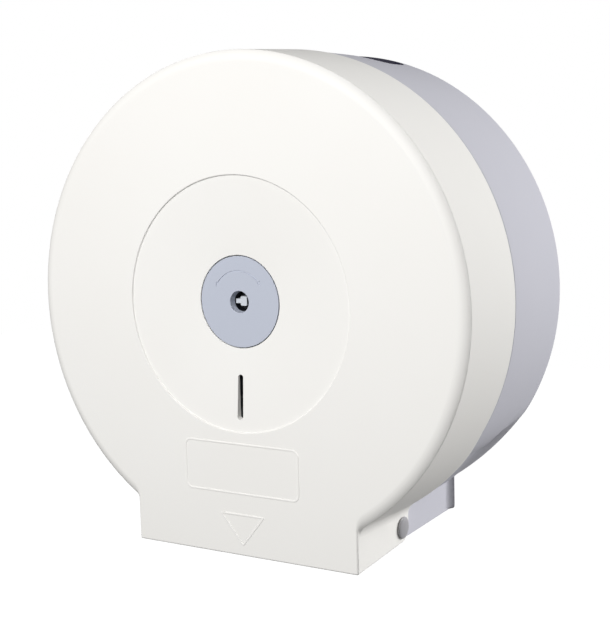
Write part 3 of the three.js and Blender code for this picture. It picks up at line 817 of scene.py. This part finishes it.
def make_cover():
    skirt = skirt_block()
    for side in (-1, 1):
        join(skirt, valley(side))
    cut(skirt, drum_room())
    cover = join(drum_shell(), skirt)
    throat = box_outline(-SKIRT_INNER_HALF_WIDTH, SKIRT_INNER_HALF_WIDTH, FACE + COVER_WALL, OVERRUN)
    cut(cover, slab("throat", throat, SKIRT_BOTTOM - OVERRUN, SKIRT_TOP, along_z))
    join(cover, dish_backing())
    cut(cover, dish_cutter())
    join(cover, slab("slot_collar", slot_outline(SLOT_COLLAR), FACE + DISH_DEPTH, SLOT_COLLAR_BACK,
                     along_y))
    cut(cover, slot_cutter())
    label = rounded_rectangle(-LABEL_HALF_WIDTH, LABEL_HALF_WIDTH, LABEL_BOTTOM, LABEL_TOP,
                              LABEL_CORNER)
    join(cover, bead("label_bead", dense(label)))
    arrow = [(-ARROW_HALF_WIDTH, ARROW_TOP), (0.0, ARROW_TIP), (ARROW_HALF_WIDTH, ARROW_TOP)]
    join(cover, bead("arrow_bead", dense(soften(arrow, ARROW_CORNER, steps=TRIM_STEPS))))
    cut(cover, rod("barrel_hole", BARREL_RADIUS + GAP, FACE - OVERRUN, COVER_CENTRE_BACK + OVERRUN))
    cut(cover, pin_bore())
    settle(cover, "front_cover")
    # Painted shade: the slot's walls past that depth and its collar's inner walls are near-black, for
    # the shade inside the slot
    paint(cover, "recess_painted_shade", lambda centre, normal: abs(centre.x) < SLOT_WIDTH / 2 + GAP
          and abs(normal.y) < FACING_LIMIT and SLOT_PAINTED_SHADE_FROM < centre.y < SLOT_COLLAR_BACK
          and SLOT_BOTTOM - GAP < centre.z < SLOT_TOP + GAP)


# Back housing
def on_drum(radius, angle):
    turn = math.radians(angle)
    return (radius * math.cos(turn), -DRUM_DROP + radius * math.sin(turn))


def housing_outline(depth_in, share):
    """The housing's wall in x and z, from one cheek over the top to the other. Share runs from 0
    at the wall to 1 at the rim, where each lower flank rolls in above its flat."""
    radius = HOUSING_RADIUS - depth_in
    half = CHEEK_HALF_WIDTH - depth_in * CHEEK_THICK / HOUSING_WALL
    shoulder = -DRUM_DROP - math.sqrt(radius ** 2 - half ** 2)
    crease = CREASE_AT_WALL + (CREASE_AT_RIM - CREASE_AT_WALL) * min(share, CREASE_LIMIT)
    roll = CREASE_INSET + FLANK_ROLL * min(share, ROLL_LIMIT)
    right = [(half, CUP_LOWEST), (half, shoulder)]
    low = Vector(on_drum(radius - FACET_INSET, FACET_BOTTOM))
    high = Vector(on_drum(radius - roll, crease))
    for i in range(FACET_STEPS):
        way = i / FACET_STEPS
        drawn = FACET_INSET + (roll - FACET_INSET) * way
        bulged = Vector(on_drum(radius - drawn, FACET_BOTTOM + (crease - FACET_BOTTOM) * way))
        right.append(tuple(bulged.lerp(low.lerp(high, way), FACET_FLATNESS)))
    for i in range(ROLL_STEPS):
        way = i / ROLL_STEPS
        drawn = roll * (1 - way) ** ROLL_POWER
        right.append(on_drum(radius - drawn, crease + (ROLL_TOP - crease) * way))
    right += [on_drum(radius, ROLL_TOP + (90 - ROLL_TOP) * i / CROWN_STEPS)
              for i in range(CROWN_STEPS)]
    return right + [on_drum(radius, 90)] + [(-x, z) for x, z in reversed(right)]


def housing_cup():
    """The housing's wall and panel as one closed cup with rounded edges."""
    rings = []

    def add_ring(depth_in, share, rise):
        outline = housing_outline(depth_in, share)
        base = -HOUSING_ROUND
        rings.append([(x, base + (rim_edge(z, RIM_GAP) - base) * share + rise, z)
                      for x, z in outline])

    for turn in quarter(EDGE_STEPS + 1):
        add_ring(HOUSING_ROUND * (1 - math.sin(turn)), 0.0, HOUSING_ROUND * math.cos(turn))
    for k in range(1, HOUSING_ROWS + 1):
        add_ring(0.0, k / HOUSING_ROWS, RIM_ROUND * k / HOUSING_ROWS)
    for turn in quarter(EDGE_STEPS)[1:]:
        add_ring(RIM_ROUND * (1 - math.cos(turn)), 1.0, RIM_ROUND * (1 - math.sin(turn)))
    for turn in quarter(EDGE_STEPS):
        add_ring(HOUSING_WALL - RIM_ROUND * (1 - math.sin(turn)), 1.0,
                 RIM_ROUND * (1 - math.cos(turn)))
    floor = HOUSING_ROUND - PANEL_THICK
    for k in range(HOUSING_ROWS - 1, 0, -1):
        share = k / HOUSING_ROWS
        add_ring(HOUSING_WALL, share, RIM_ROUND * share + (floor - INNER_ROUND) * (1 - share))
    for turn in quarter(EDGE_STEPS + 1):
        add_ring(HOUSING_WALL + INNER_ROUND * (1 - math.cos(turn)), 0.0,
                 floor - INNER_ROUND * (1 - math.sin(turn)))
    return skin("housing_shell", rings)


def cheek(left, right):
    """One side plate of the throat, with a round nose about the hinge pin."""
    edge = EAR_EDGE + RIM_GAP
    nose_top = PIN_HEIGHT + NOSE_RADIUS
    outline = [(-FLANGE_THICK / 2, THROAT_BOTTOM), (-FLANGE_THICK / 2, FLANGE_TOP),
               (edge, FLANGE_TOP), (edge, nose_top)]
    outline += arc(PIN_PLACE, PIN_HEIGHT, NOSE_RADIUS, 90, 270)
    return slab("cheek", outline, left, right, along_x, SMALL_EDGE)


def flange():
    """The plate at the wall behind the throat, its sides flaring out softly from the cheeks."""
    rings = []
    spread = FLANGE_HALF_WIDTH - CHEEK_HALF_WIDTH
    levels = [(0.0, SMALL_EDGE), (-SMALL_EDGE, 0.0)]
    for k in range(1, COVE_STEPS + 1):
        way = k / COVE_STEPS
        levels.append((-SMALL_EDGE - (FLANGE_COVE - SMALL_EDGE) * way,
                       spread * (1 - (1 - way) ** 2)))
    for y, drawn in levels:
        half = FLANGE_HALF_WIDTH - drawn
        outline = rounded_rectangle(-half, half, THROAT_BOTTOM, FLANGE_TOP, FLANGE_CORNER)
        rings.append([(x, y, z) for x, z in outline])
    return skin("flange", rings)


def lip():
    """The locating lip inside the rim, with a sloping front edge."""
    outer = DRUM_RADIUS - COVER_WALL - RIM_GAP
    edge = RIM_EDGE + RIM_GAP
    front = edge - LIP_REACH
    profile = [(outer - LIP_THICK, front), (outer - LIP_THICK / 2, front),
               (outer, front + LIP_THICK / 2), (outer, edge + LIP_ROOT - LIP_THICK),
               (outer - LIP_THICK, edge + LIP_ROOT)]
    ring = revolve("lip", soften(profile, SMALL_EDGE), DRUM_SIDES, -DRUM_DROP, loop=True)
    below = box_outline(-DRUM_RADIUS - OVERRUN, DRUM_RADIUS + OVERRUN, front - OVERRUN, OVERRUN)
    return cut(ring, slab("below", below, -DRUM_RADIUS - OVERRUN, LIP_LOWEST, along_z))


def rib(turn):
    """A low rib on the panel from the pad under the spindle out to the wall."""
    half = RIB_THICK / 2
    outline = box_outline(BOSS_RADIUS - OVERRUN, RIB_REACH, -half, half)
    return spun(slab("rib", outline, -PANEL_THICK - RIB_HEIGHT, -PANEL_THICK / 2, along_y,
                     RIB_THICK / 4), -turn)


def screw_places():
    turns = [math.pi / 2 + 2 * math.pi * i / SCREW_COUNT for i in range(SCREW_COUNT)]
    return [(SCREW_CIRCLE * math.cos(t), SCREW_CIRCLE * math.sin(t)) for t in turns]


def make_housing():
    housing = housing_cup()
    inner_half = CHEEK_HALF_WIDTH - CHEEK_THICK
    join(housing, flange())
    throat = box_outline(-inner_half, inner_half, 2 * EAR_EDGE, -FLANGE_THICK)
    cut(housing, slab("throat", throat, 2 * THROAT_BOTTOM, FLANGE_TOP, along_z))
    join(housing, cheek(inner_half, CHEEK_HALF_WIDTH))
    join(housing, cheek(-CHEEK_HALF_WIDTH, -inner_half))
    join(housing, lip())
    boss_front = -PANEL_THICK - BOSS_HEIGHT
    pad = [(0.0, boss_front), (BOSS_RADIUS, boss_front), (BOSS_RADIUS, -PANEL_THICK / 2),
           (0.0, -PANEL_THICK / 2)]
    for i in range(RIB_COUNT):
        turn = 2 * math.pi * i / RIB_COUNT
        if math.sin(turn) > RIB_LOWEST:
            join(housing, rib(turn))
    join(housing, turned("boss", pad, BOSS_ROUND))
    for side in (-WALL_HOLE_SIDE, WALL_HOLE_SIDE):
        for top in WALL_HOLE_TOPS:
            half = WALL_HOLE_WIDTH / 2
            slot = rounded_rectangle(side - half, side + half, top - WALL_HOLE_LENGTH, top, half)
            # Drawn in past its middle, the outline leaves a small stub at each end of the slot
            stubs = inset(slot, STUB_INSET)
            join(housing, slab("stubs", stubs, -PANEL_THICK - STUB_HEIGHT, -PANEL_THICK / 2,
                               along_y, SMALL_EDGE))
            cut(housing, slab("wall_slot", slot, -OVERRUN, OVERRUN, along_y))
    oval = rounded_rectangle(-OVAL_HALF_WIDTH, OVAL_HALF_WIDTH, OVAL_FRONT, OVAL_BACK, OVAL_CORNER)
    cut(housing, slab("oval", oval, OVAL_LOWEST, HOUSING_RADIUS + OVERRUN, along_z))
    for x, z in screw_places():
        cut(housing, rod("screw_hole", SCREW_RADIUS + GAP, 2 * boss_front, -PANEL_THICK / 4, x, z,
                         SMALL_SIDES))
    cut(housing, pin_bore())
    rivet_height = middle_of("rear_bar_rivet_1")[1]
    for side in (-RIVET_SIDE, RIVET_SIDE):
        cut(housing, rod("rivet_hole", RIVET_RADIUS + GAP, -2 * FLANGE_THICK,
                         back_of("rear_bar_rivet_1") + GAP, side, rivet_height, SMALL_SIDES))
    settle(housing, "back_housing")
    # Painted shade: the oval hole's cut walls get a dark navy for the shade inside the housing seen
    # through the hole
    paint(housing, "oval_hole_painted_shade", lambda centre, normal: centre.z > OVAL_LOWEST
          and abs(normal.z) < FACING_LIMIT and abs(centre.x) < OVAL_HALF_WIDTH + GAP
          and OVAL_FRONT - GAP < centre.y < OVAL_BACK + GAP)


# Hinge pins and their clips
def make_pins():
    for side, sign in (("left", -1), ("right", 1)):
        low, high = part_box("hinge_pin_" + side)
        shank = SKIRT_HALF_WIDTH + GAP - (low.x if sign > 0 else -high.x)
        profile = [(0.0, -shank), (PIN_RADIUS, -shank), (PIN_RADIUS, 0.0), (PIN_HEAD_RADIUS, 0.0)]
        profile += [(PIN_HEAD_RADIUS * math.cos(t), PIN_HEAD_RIM + PIN_HEAD_DOME * math.sin(t))
                    for t in (math.radians(a) for a in range(0, 90, PIN_DOME_STEP))]
        profile.append((0.0, PIN_HEAD_RIM + PIN_HEAD_DOME))
        pin = turned("pin_" + side, profile)
        turn = Matrix.Rotation(-sign * math.pi / 2, 4, "Z")
        place = Matrix.Translation((sign * (SKIRT_HALF_WIDTH + GAP), PIN_PLACE, PIN_HEIGHT))
        pin.data.transform(place @ turn)
        settle(pin, "hinge_pin_" + side)

        low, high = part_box("pin_clip_" + side)
        bore = PIN_RADIUS + GAP
        thick = high.x - low.x
        blade = thick * CLIP_BLADE
        profile = [(bore, 0.0), (bore + thick, 0.0), (CLIP_RADIUS, thick * CLIP_DISH),
                   (CLIP_RADIUS, thick), (bore + thick, blade), (bore, blade)]
        clip = turned("push_clip_" + side, profile, thick * CLIP_EDGE, SMALL_SIDES)
        for i in range(CLIP_SLITS):
            slit = box_outline(0.0, bore + thick, -CLIP_SLIT / 2, CLIP_SLIT / 2)
            cutter = slab("slit", slit, -OVERRUN, OVERRUN, along_y)
            cut(clip, spun(cutter, 2 * math.pi * i / CLIP_SLITS))
        lean = Matrix.Rotation(sign * math.pi / 2, 4, "Z")
        inner = high.x if sign > 0 else low.x
        clip.data.transform(Matrix.Translation((inner, PIN_PLACE, PIN_HEIGHT)) @ lean)
        settle(clip, "pin_clip_" + side)


# Spindle, keeper, hub and adapter
def make_post():
    front, back = ends_of("spindle_post")
    flange_front = back_of("roll_hub") + GAP
    bore = POST_RADIUS - POST_WALL
    post = turned("post", [(0.0, back), (POST_FLANGE_RADIUS, back), (POST_FLANGE_RADIUS, flange_front),
                           (POST_RADIUS, flange_front), (POST_RADIUS, front), (bore, front),
                           (bore, flange_front), (0.0, flange_front)], TUBE_ROUND)
    seat = front_of("spindle_screw_1") + SCREW_HEAD_HEIGHT + GAP
    for x, z in screw_places():
        for radius, depth in ((SCREW_RADIUS, 0.0), (SCREW_HEAD_RADIUS, seat)):
            cut(post, rod("screw_hole", radius + GAP, 2 * flange_front, depth, x, z, SMALL_SIDES))
    settle(post, "spindle_post")


def make_keeper():
    front, end = ends_of("latch_keeper")
    back = front + KEEPER_THICK
    inner = KEEPER_SPIGOT - KEEPER_SPIGOT_WALL
    keeper = turned("keeper_cap", [(0.0, front), (KEEPER_RADIUS, front), (KEEPER_RADIUS, back),
                                   (KEEPER_SPIGOT, back), (KEEPER_SPIGOT, end), (inner, end),
                                   (inner, back), (0.0, back)], TUBE_ROUND)
    half, below, above = KEEPER_SLOT
    slot = rounded_rectangle(-half, half, -below, above, KEEPER_SLOT_CORNER)
    cut(keeper, slab("keeper_slot", slot, front - OVERRUN, back + OVERRUN / 2, along_y))
    settle(keeper, "latch_keeper")


def make_hub():
    front, back = ends_of("roll_hub")
    flange_front = back - HUB_FLANGE_THICK
    hub = turned("hub_sleeve", [(HUB_BORE, back), (HUB_FLANGE_RADIUS, back),
                                (HUB_FLANGE_RADIUS, flange_front), (HUB_RADIUS, flange_front),
                                (HUB_RADIUS, front), (HUB_BORE, front)], HUB_ROUND)
    settle(hub, "roll_hub")


def make_adapter():
    front, back = ends_of("core_adapter")
    outer = ADAPTER_BORE + ADAPTER_WALL
    adapter = turned("adapter_ring", [(ADAPTER_BORE, back), (outer, back), (outer, front),
                                      (ADAPTER_BORE, front)], ADAPTER_ROUND)
    inner = ADAPTER_BORE + ADAPTER_WALL / 2
    outline = soften([(inner, back), (FIN_RADIUS, back), (FIN_RADIUS, front + FIN_LEAD),
                      (FIN_RADIUS - FIN_LEAD, front), (inner, front)], FIN_CORNER)
    for i in range(FIN_COUNT):
        fin = slab("fin", outline, -FIN_THICK / 2, FIN_THICK / 2, along_z, ADAPTER_ROUND)
        join(adapter, spun(fin, 2 * math.pi * i / FIN_COUNT))
    settle(adapter, "core_adapter")


# Screws, rivets, clip, washer and nut
def fastener(name, node, head_radius, shank_radius, head_height, faces_front, crossed):
    """A domed head on a shank along Y in the place of a node, with or without a cross recess."""
    x, z = middle_of(node)
    front, back = ends_of(node)
    top, tip, sign = (front, back, -1) if faces_front else (back, front, 1)
    seat = top - sign * head_height
    rim = HEAD_RIM_SHARE * head_height
    profile = [(0.0, tip), (shank_radius, tip), (shank_radius, seat), (head_radius, seat),
               (head_radius, seat + sign * rim)]
    profile += [(head_radius * math.cos(t), seat + sign * (rim + (head_height - rim) * math.sin(t)))
                for t in (math.radians(a) for a in range(HEAD_DOME_STEP, 90, HEAD_DOME_STEP))]
    profile.append((0.0, top))
    body = turned(name, profile, SMALL_EDGE / 2, SMALL_SIDES, x, z)
    if crossed:
        ends = sorted((top + sign * OVERRUN, top - sign * head_height * CROSS_DEPTH))
        for wide, high in ((CROSS_LENGTH, CROSS_WIDTH), (CROSS_WIDTH, CROSS_LENGTH)):
            arm = box_outline(x - head_radius * wide, x + head_radius * wide,
                              z - head_radius * high, z + head_radius * high)
            cut(body, slab("recess", arm, ends[0], ends[1], along_y))
    settle(body, node)


def make_fasteners():
    for i in range(1, SCREW_COUNT + 1):
        fastener(f"post_screw_{i}", f"spindle_screw_{i}", SCREW_HEAD_RADIUS, SCREW_RADIUS,
                 SCREW_HEAD_HEIGHT, True, True)
    for i in (1, 2):
        for bar, faces_front in (("rear", True), ("front", False)):
            fastener(f"{bar}_rivet_{i}", f"{bar}_bar_rivet_{i}", RIVET_HEAD_RADIUS, RIVET_RADIUS,
                     RIVET_HEAD_HEIGHT, faces_front, False)
    fastener("cam_bolt", "cam_screw", CAM_SCREW_HEAD_RADIUS, CAM_SCREW_RADIUS,
             CAM_SCREW_HEAD_HEIGHT, False, True)

    bore = STEM_RADIUS + GAP
    for name, node, radius, notches in (("washer", "lock_washer", WASHER_RADIUS, 0),
                                        ("stem_clip", "core_clip", CLIP_RADIUS, CLIP_SLITS)):
        front, back = ends_of(node)
        ring = turned(name, [(bore, front), (radius, front), (radius, back), (bore, back)],
                      SMALL_EDGE / 2)
        for i in range(notches):
            notch = rod("notch", NOTCH_RADIUS, front - OVERRUN, back + OVERRUN, 0.0, bore,
                        SMALL_SIDES)
            cut(ring, spun(notch, 2 * math.pi * i / notches))
        settle(ring, node)


def make_nut():
    front, back = ends_of("lock_nut")
    corner = NUT_HALF_FLATS / math.cos(math.pi / 6)
    turns = [math.pi / 3 * i + math.pi / 2 for i in range(6)]
    hexagon = [(corner * math.cos(t), corner * math.sin(t)) for t in turns]
    nut = slab("hex_nut", hexagon, front, back, along_y)
    bevel = (corner - NUT_HALF_FLATS) * NUT_CHAMFER
    cone = [(0.0, front), (NUT_HALF_FLATS, front), (corner, front + bevel),
            (corner, back - bevel), (NUT_HALF_FLATS, back), (0.0, back)]
    combine(nut, revolve("cone", cone, TUBE_SIDES), "INTERSECT")
    cut(nut, rod("bore", BARREL_RADIUS + GAP, front - OVERRUN, back + OVERRUN))
    settle(nut, "lock_nut")


def make_cam():
    half = CAM_LENGTH / 2
    outline = rounded_rectangle(-half, half, -CAM_HEIGHT / 2, CAM_HEIGHT / 2, CAM_HEIGHT / 2)
    cam = slab("cam_plate", outline, front_of("lock_cam"), back_of("lock_cam"), along_y, SMALL_EDGE)
    cut(cam, rod("neck_hole", NECK_RADIUS + GAP, 2 * front_of("lock_cam"), 0.0, sides=SMALL_SIDES))
    settle(cam, "lock_cam")


def make_bars():
    for name, node in (("rear_bar", "tear_bar_rear"), ("front_bar", "tear_bar_front")):
        low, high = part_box(node)
        root = high.z - BAR_HEIGHT
        pitch = 2 * BAR_HALF_WIDTH / TOOTH_COUNT
        outline = [(BAR_HALF_WIDTH, high.z), (-BAR_HALF_WIDTH, high.z)]
        for i in range(TOOTH_COUNT):
            left = -BAR_HALF_WIDTH + i * pitch
            outline += [(left, root), (left + pitch / 2, root - TOOTH_HEIGHT)]
        outline.append((BAR_HALF_WIDTH, root))
        bar = slab(name, outline, low.y, high.y, along_y, BAR_EDGE)
        for side in (-RIVET_SIDE, RIVET_SIDE):
            cut(bar, rod("hole", RIVET_RADIUS + GAP, low.y - OVERRUN, high.y + OVERRUN, side,
                         high.z - BAR_HEIGHT / 2, SMALL_SIDES))
        settle(bar, node)


# Lock plate and key core
def turn_arrow():
    """A shallow double-headed arc that shows which way the key turns."""
    half = TURN_ARROW_WIDTH / 2
    start = TURN_ARROW_START
    end = TURN_ARROW_END

    def at(radius, angle):
        turn = math.radians(angle)
        return (radius * math.cos(turn), radius * math.sin(turn))

    middle = TURN_ARROW_RADIUS
    outline = arc(0, 0, middle + half, start, end, TURN_ARROW_STEPS)
    outline += [at(middle + TURN_ARROW_HEAD, end), at(middle, end + TURN_ARROW_POINT),
                at(middle - TURN_ARROW_HEAD, end)]
    outline += arc(0, 0, middle - half, end, start, TURN_ARROW_STEPS)
    outline += [at(middle - TURN_ARROW_HEAD, start), at(middle, start - TURN_ARROW_POINT),
                at(middle + TURN_ARROW_HEAD, start)]
    return slab("turn_arrow", outline, PLATE_FRONT - OVERRUN, PLATE_FRONT + TURN_ARROW_DEPTH,
                along_y)


def make_plate():
    back = back_of("lock_escutcheon")
    step = back - BARREL_LIP
    bore = STEM_RADIUS + GAP
    plate = turned("lock_plate", [
        (WELL_MOUTH_RADIUS, PLATE_FRONT), (PLATE_RADIUS, PLATE_FRONT), (PLATE_RADIUS, PLATE_BACK),
        (BARREL_RADIUS, PLATE_BACK), (BARREL_RADIUS, back), (bore, back), (bore, step),
        (WELL_RADIUS, step), (WELL_RADIUS, PLATE_FRONT + WELL_CONE_DEPTH),
        (WELL_MOUTH_RADIUS, PLATE_FRONT + WELL_MOUTH_DEPTH)], SMALL_EDGE, 2 * TUBE_SIDES)
    cut(plate, turn_arrow())
    settle(plate, "lock_escutcheon")
    deep = PLATE_FRONT + WELL_MOUTH_DEPTH
    # Painted shade: the key well's walls below its mouth are near-black, for the shade inside the well
    paint(plate, "recess_painted_shade", lambda centre, normal: deep < centre.y < back - GAP
          and math.hypot(centre.x, centre.z) < WELL_RADIUS + GAP / 2)


def make_core():
    head = PLATE_FRONT + WELL_DEPTH
    head_back = head + CORE_HEAD_THICK
    stem_back = front_of("lock_cam") - GAP
    end = back_of("lock_core")
    core = turned("key_core", [(0.0, head), (CORE_HEAD_RADIUS, head), (CORE_HEAD_RADIUS, head_back),
                               (STEM_RADIUS, head_back), (STEM_RADIUS, stem_back),
                               (NECK_RADIUS, stem_back), (NECK_RADIUS, end), (0.0, end)])
    tip = head - KEY_POST_LENGTH
    post = rounded_rectangle(-KEY_POST_WIDTH / 2, KEY_POST_WIDTH / 2, -KEY_POST_HEIGHT / 2,
                             KEY_POST_HEIGHT / 2, KEY_POST_CORNER)
    join(core, slab("key_post", post, tip, head + GAP, along_y, SMALL_EDGE))
    rib_outline = box_outline(-CORE_HEAD_RADIUS + GAP, 0.0, -KEY_RIB_HEIGHT / 2, KEY_RIB_HEIGHT / 2)
    join(core, slab("key_rib", rib_outline, tip, head + GAP, along_y, SMALL_EDGE / 2))
    cut(core, rod("bore", CORE_BORE_RADIUS, end - CORE_BORE_DEPTH, end + OVERRUN,
                  sides=SMALL_SIDES))
    settle(core, "lock_core", "key_grey")
    # Painted shade: the core's head at the bottom of the well is near-black, for the shade there
    paint(core, "recess_painted_shade", lambda centre, normal: head - GAP < centre.y < head_back)


# Stage, lights and camera
def make_camera():
    azimuth, elevation, roll = (math.radians(a) for a in (AZIMUTH, ELEVATION, ROLL))
    back = Vector((math.sin(azimuth) * math.cos(elevation), -math.cos(azimuth) * math.cos(elevation),
                   math.sin(elevation)))
    level = Vector((math.cos(azimuth), math.sin(azimuth), 0.0))
    upright = back.cross(level)
    right = level * math.cos(roll) + upright * math.sin(roll)
    up = upright * math.cos(roll) - level * math.sin(roll)
    camera = bpy.data.objects.new("camera", bpy.data.cameras.new("camera"))
    bpy.context.scene.collection.objects.link(camera)
    turn = Matrix((right, up, back)).transposed().to_4x4()
    camera.matrix_world = Matrix.Translation(Vector(CAMERA_TARGET) + back * CAMERA_DISTANCE) @ turn
    camera.data.lens = FOCAL_PIXELS * SENSOR_WIDTH / FRAME_LONG_SIDE
    camera.data.sensor_width = SENSOR_WIDTH
    camera.data.clip_start = 0.01
    camera.data.clip_end = 50
    bpy.context.scene.camera = camera


def make_lamp(name, place, size, power, mirrored):
    light = bpy.data.lights.new(name, "AREA")
    light.shape = "DISK"
    light.size = size
    light.energy = power
    lamp = bpy.data.objects.new(name, light)
    bpy.context.scene.collection.objects.link(lamp)
    lamp.location = place
    lamp.visible_glossy = mirrored
    lamp.rotation_euler = (Vector(LAMP_AIM) - Vector(place)).to_track_quat("-Z", "Y").to_euler()


def make_world():
    world = bpy.data.worlds.new("studio")
    bpy.context.scene.world = world
    world.use_nodes = True
    nodes = world.node_tree.nodes
    background = fill(nodes["Background"], {"Color": (1.0, 1.0, 1.0, 1.0)})
    strength = add(nodes, "Mix", {"A": WORLD_STRENGTH, "B": 1.0})
    feed(nodes.new("ShaderNodeLightPath"), "Is Camera Ray", (strength, "Factor"))
    feed(strength, "Result", (background, "Strength"))


def make_floor():
    floor = slab("floor", box_outline(-WORLD_SIZE, WORLD_SIZE, -WORLD_SIZE, WORLD_SIZE),
                 FLOOR_HEIGHT - OVERRUN, FLOOR_HEIGHT, along_z)
    material, nodes, bsdf = new_material("floor_white")
    fill(bsdf, {"Base Color": (FLOOR_COLOR, FLOOR_COLOR, FLOOR_COLOR, 1.0), "Roughness": 0.9,
                "Emission Color": (1.0, 1.0, 1.0, 1.0)})
    glow = nodes.new("ShaderNodeMath")
    glow.operation = "MULTIPLY"
    fill(glow, {1: FLOOR_LIFT})
    feed(nodes.new("ShaderNodeLightPath"), "Is Camera Ray", (glow, 0))
    feed(glow, "Value", (bsdf, "Emission Strength"))
    floor.data.materials.append(material)


make_camera()
make_world()
make_floor()
make_lamp("front_lamp", *FRONT_LAMP)
make_lamp("rear_lamp", *REAR_LAMP)

for node_name, slot_name in SLOT_OF.items():
    node_mesh = frame["nodes"][node_name].data
    node_mesh.materials.clear()
    node_mesh.materials.append(MATERIALS[slot_name])

make_cover()
make_housing()
make_pins()
make_post()
make_keeper()
make_hub()
make_adapter()
make_fasteners()
make_nut()
make_cam()
make_bars()
make_plate()
make_core()

bpy.context.scene.view_settings.view_transform = "Standard"
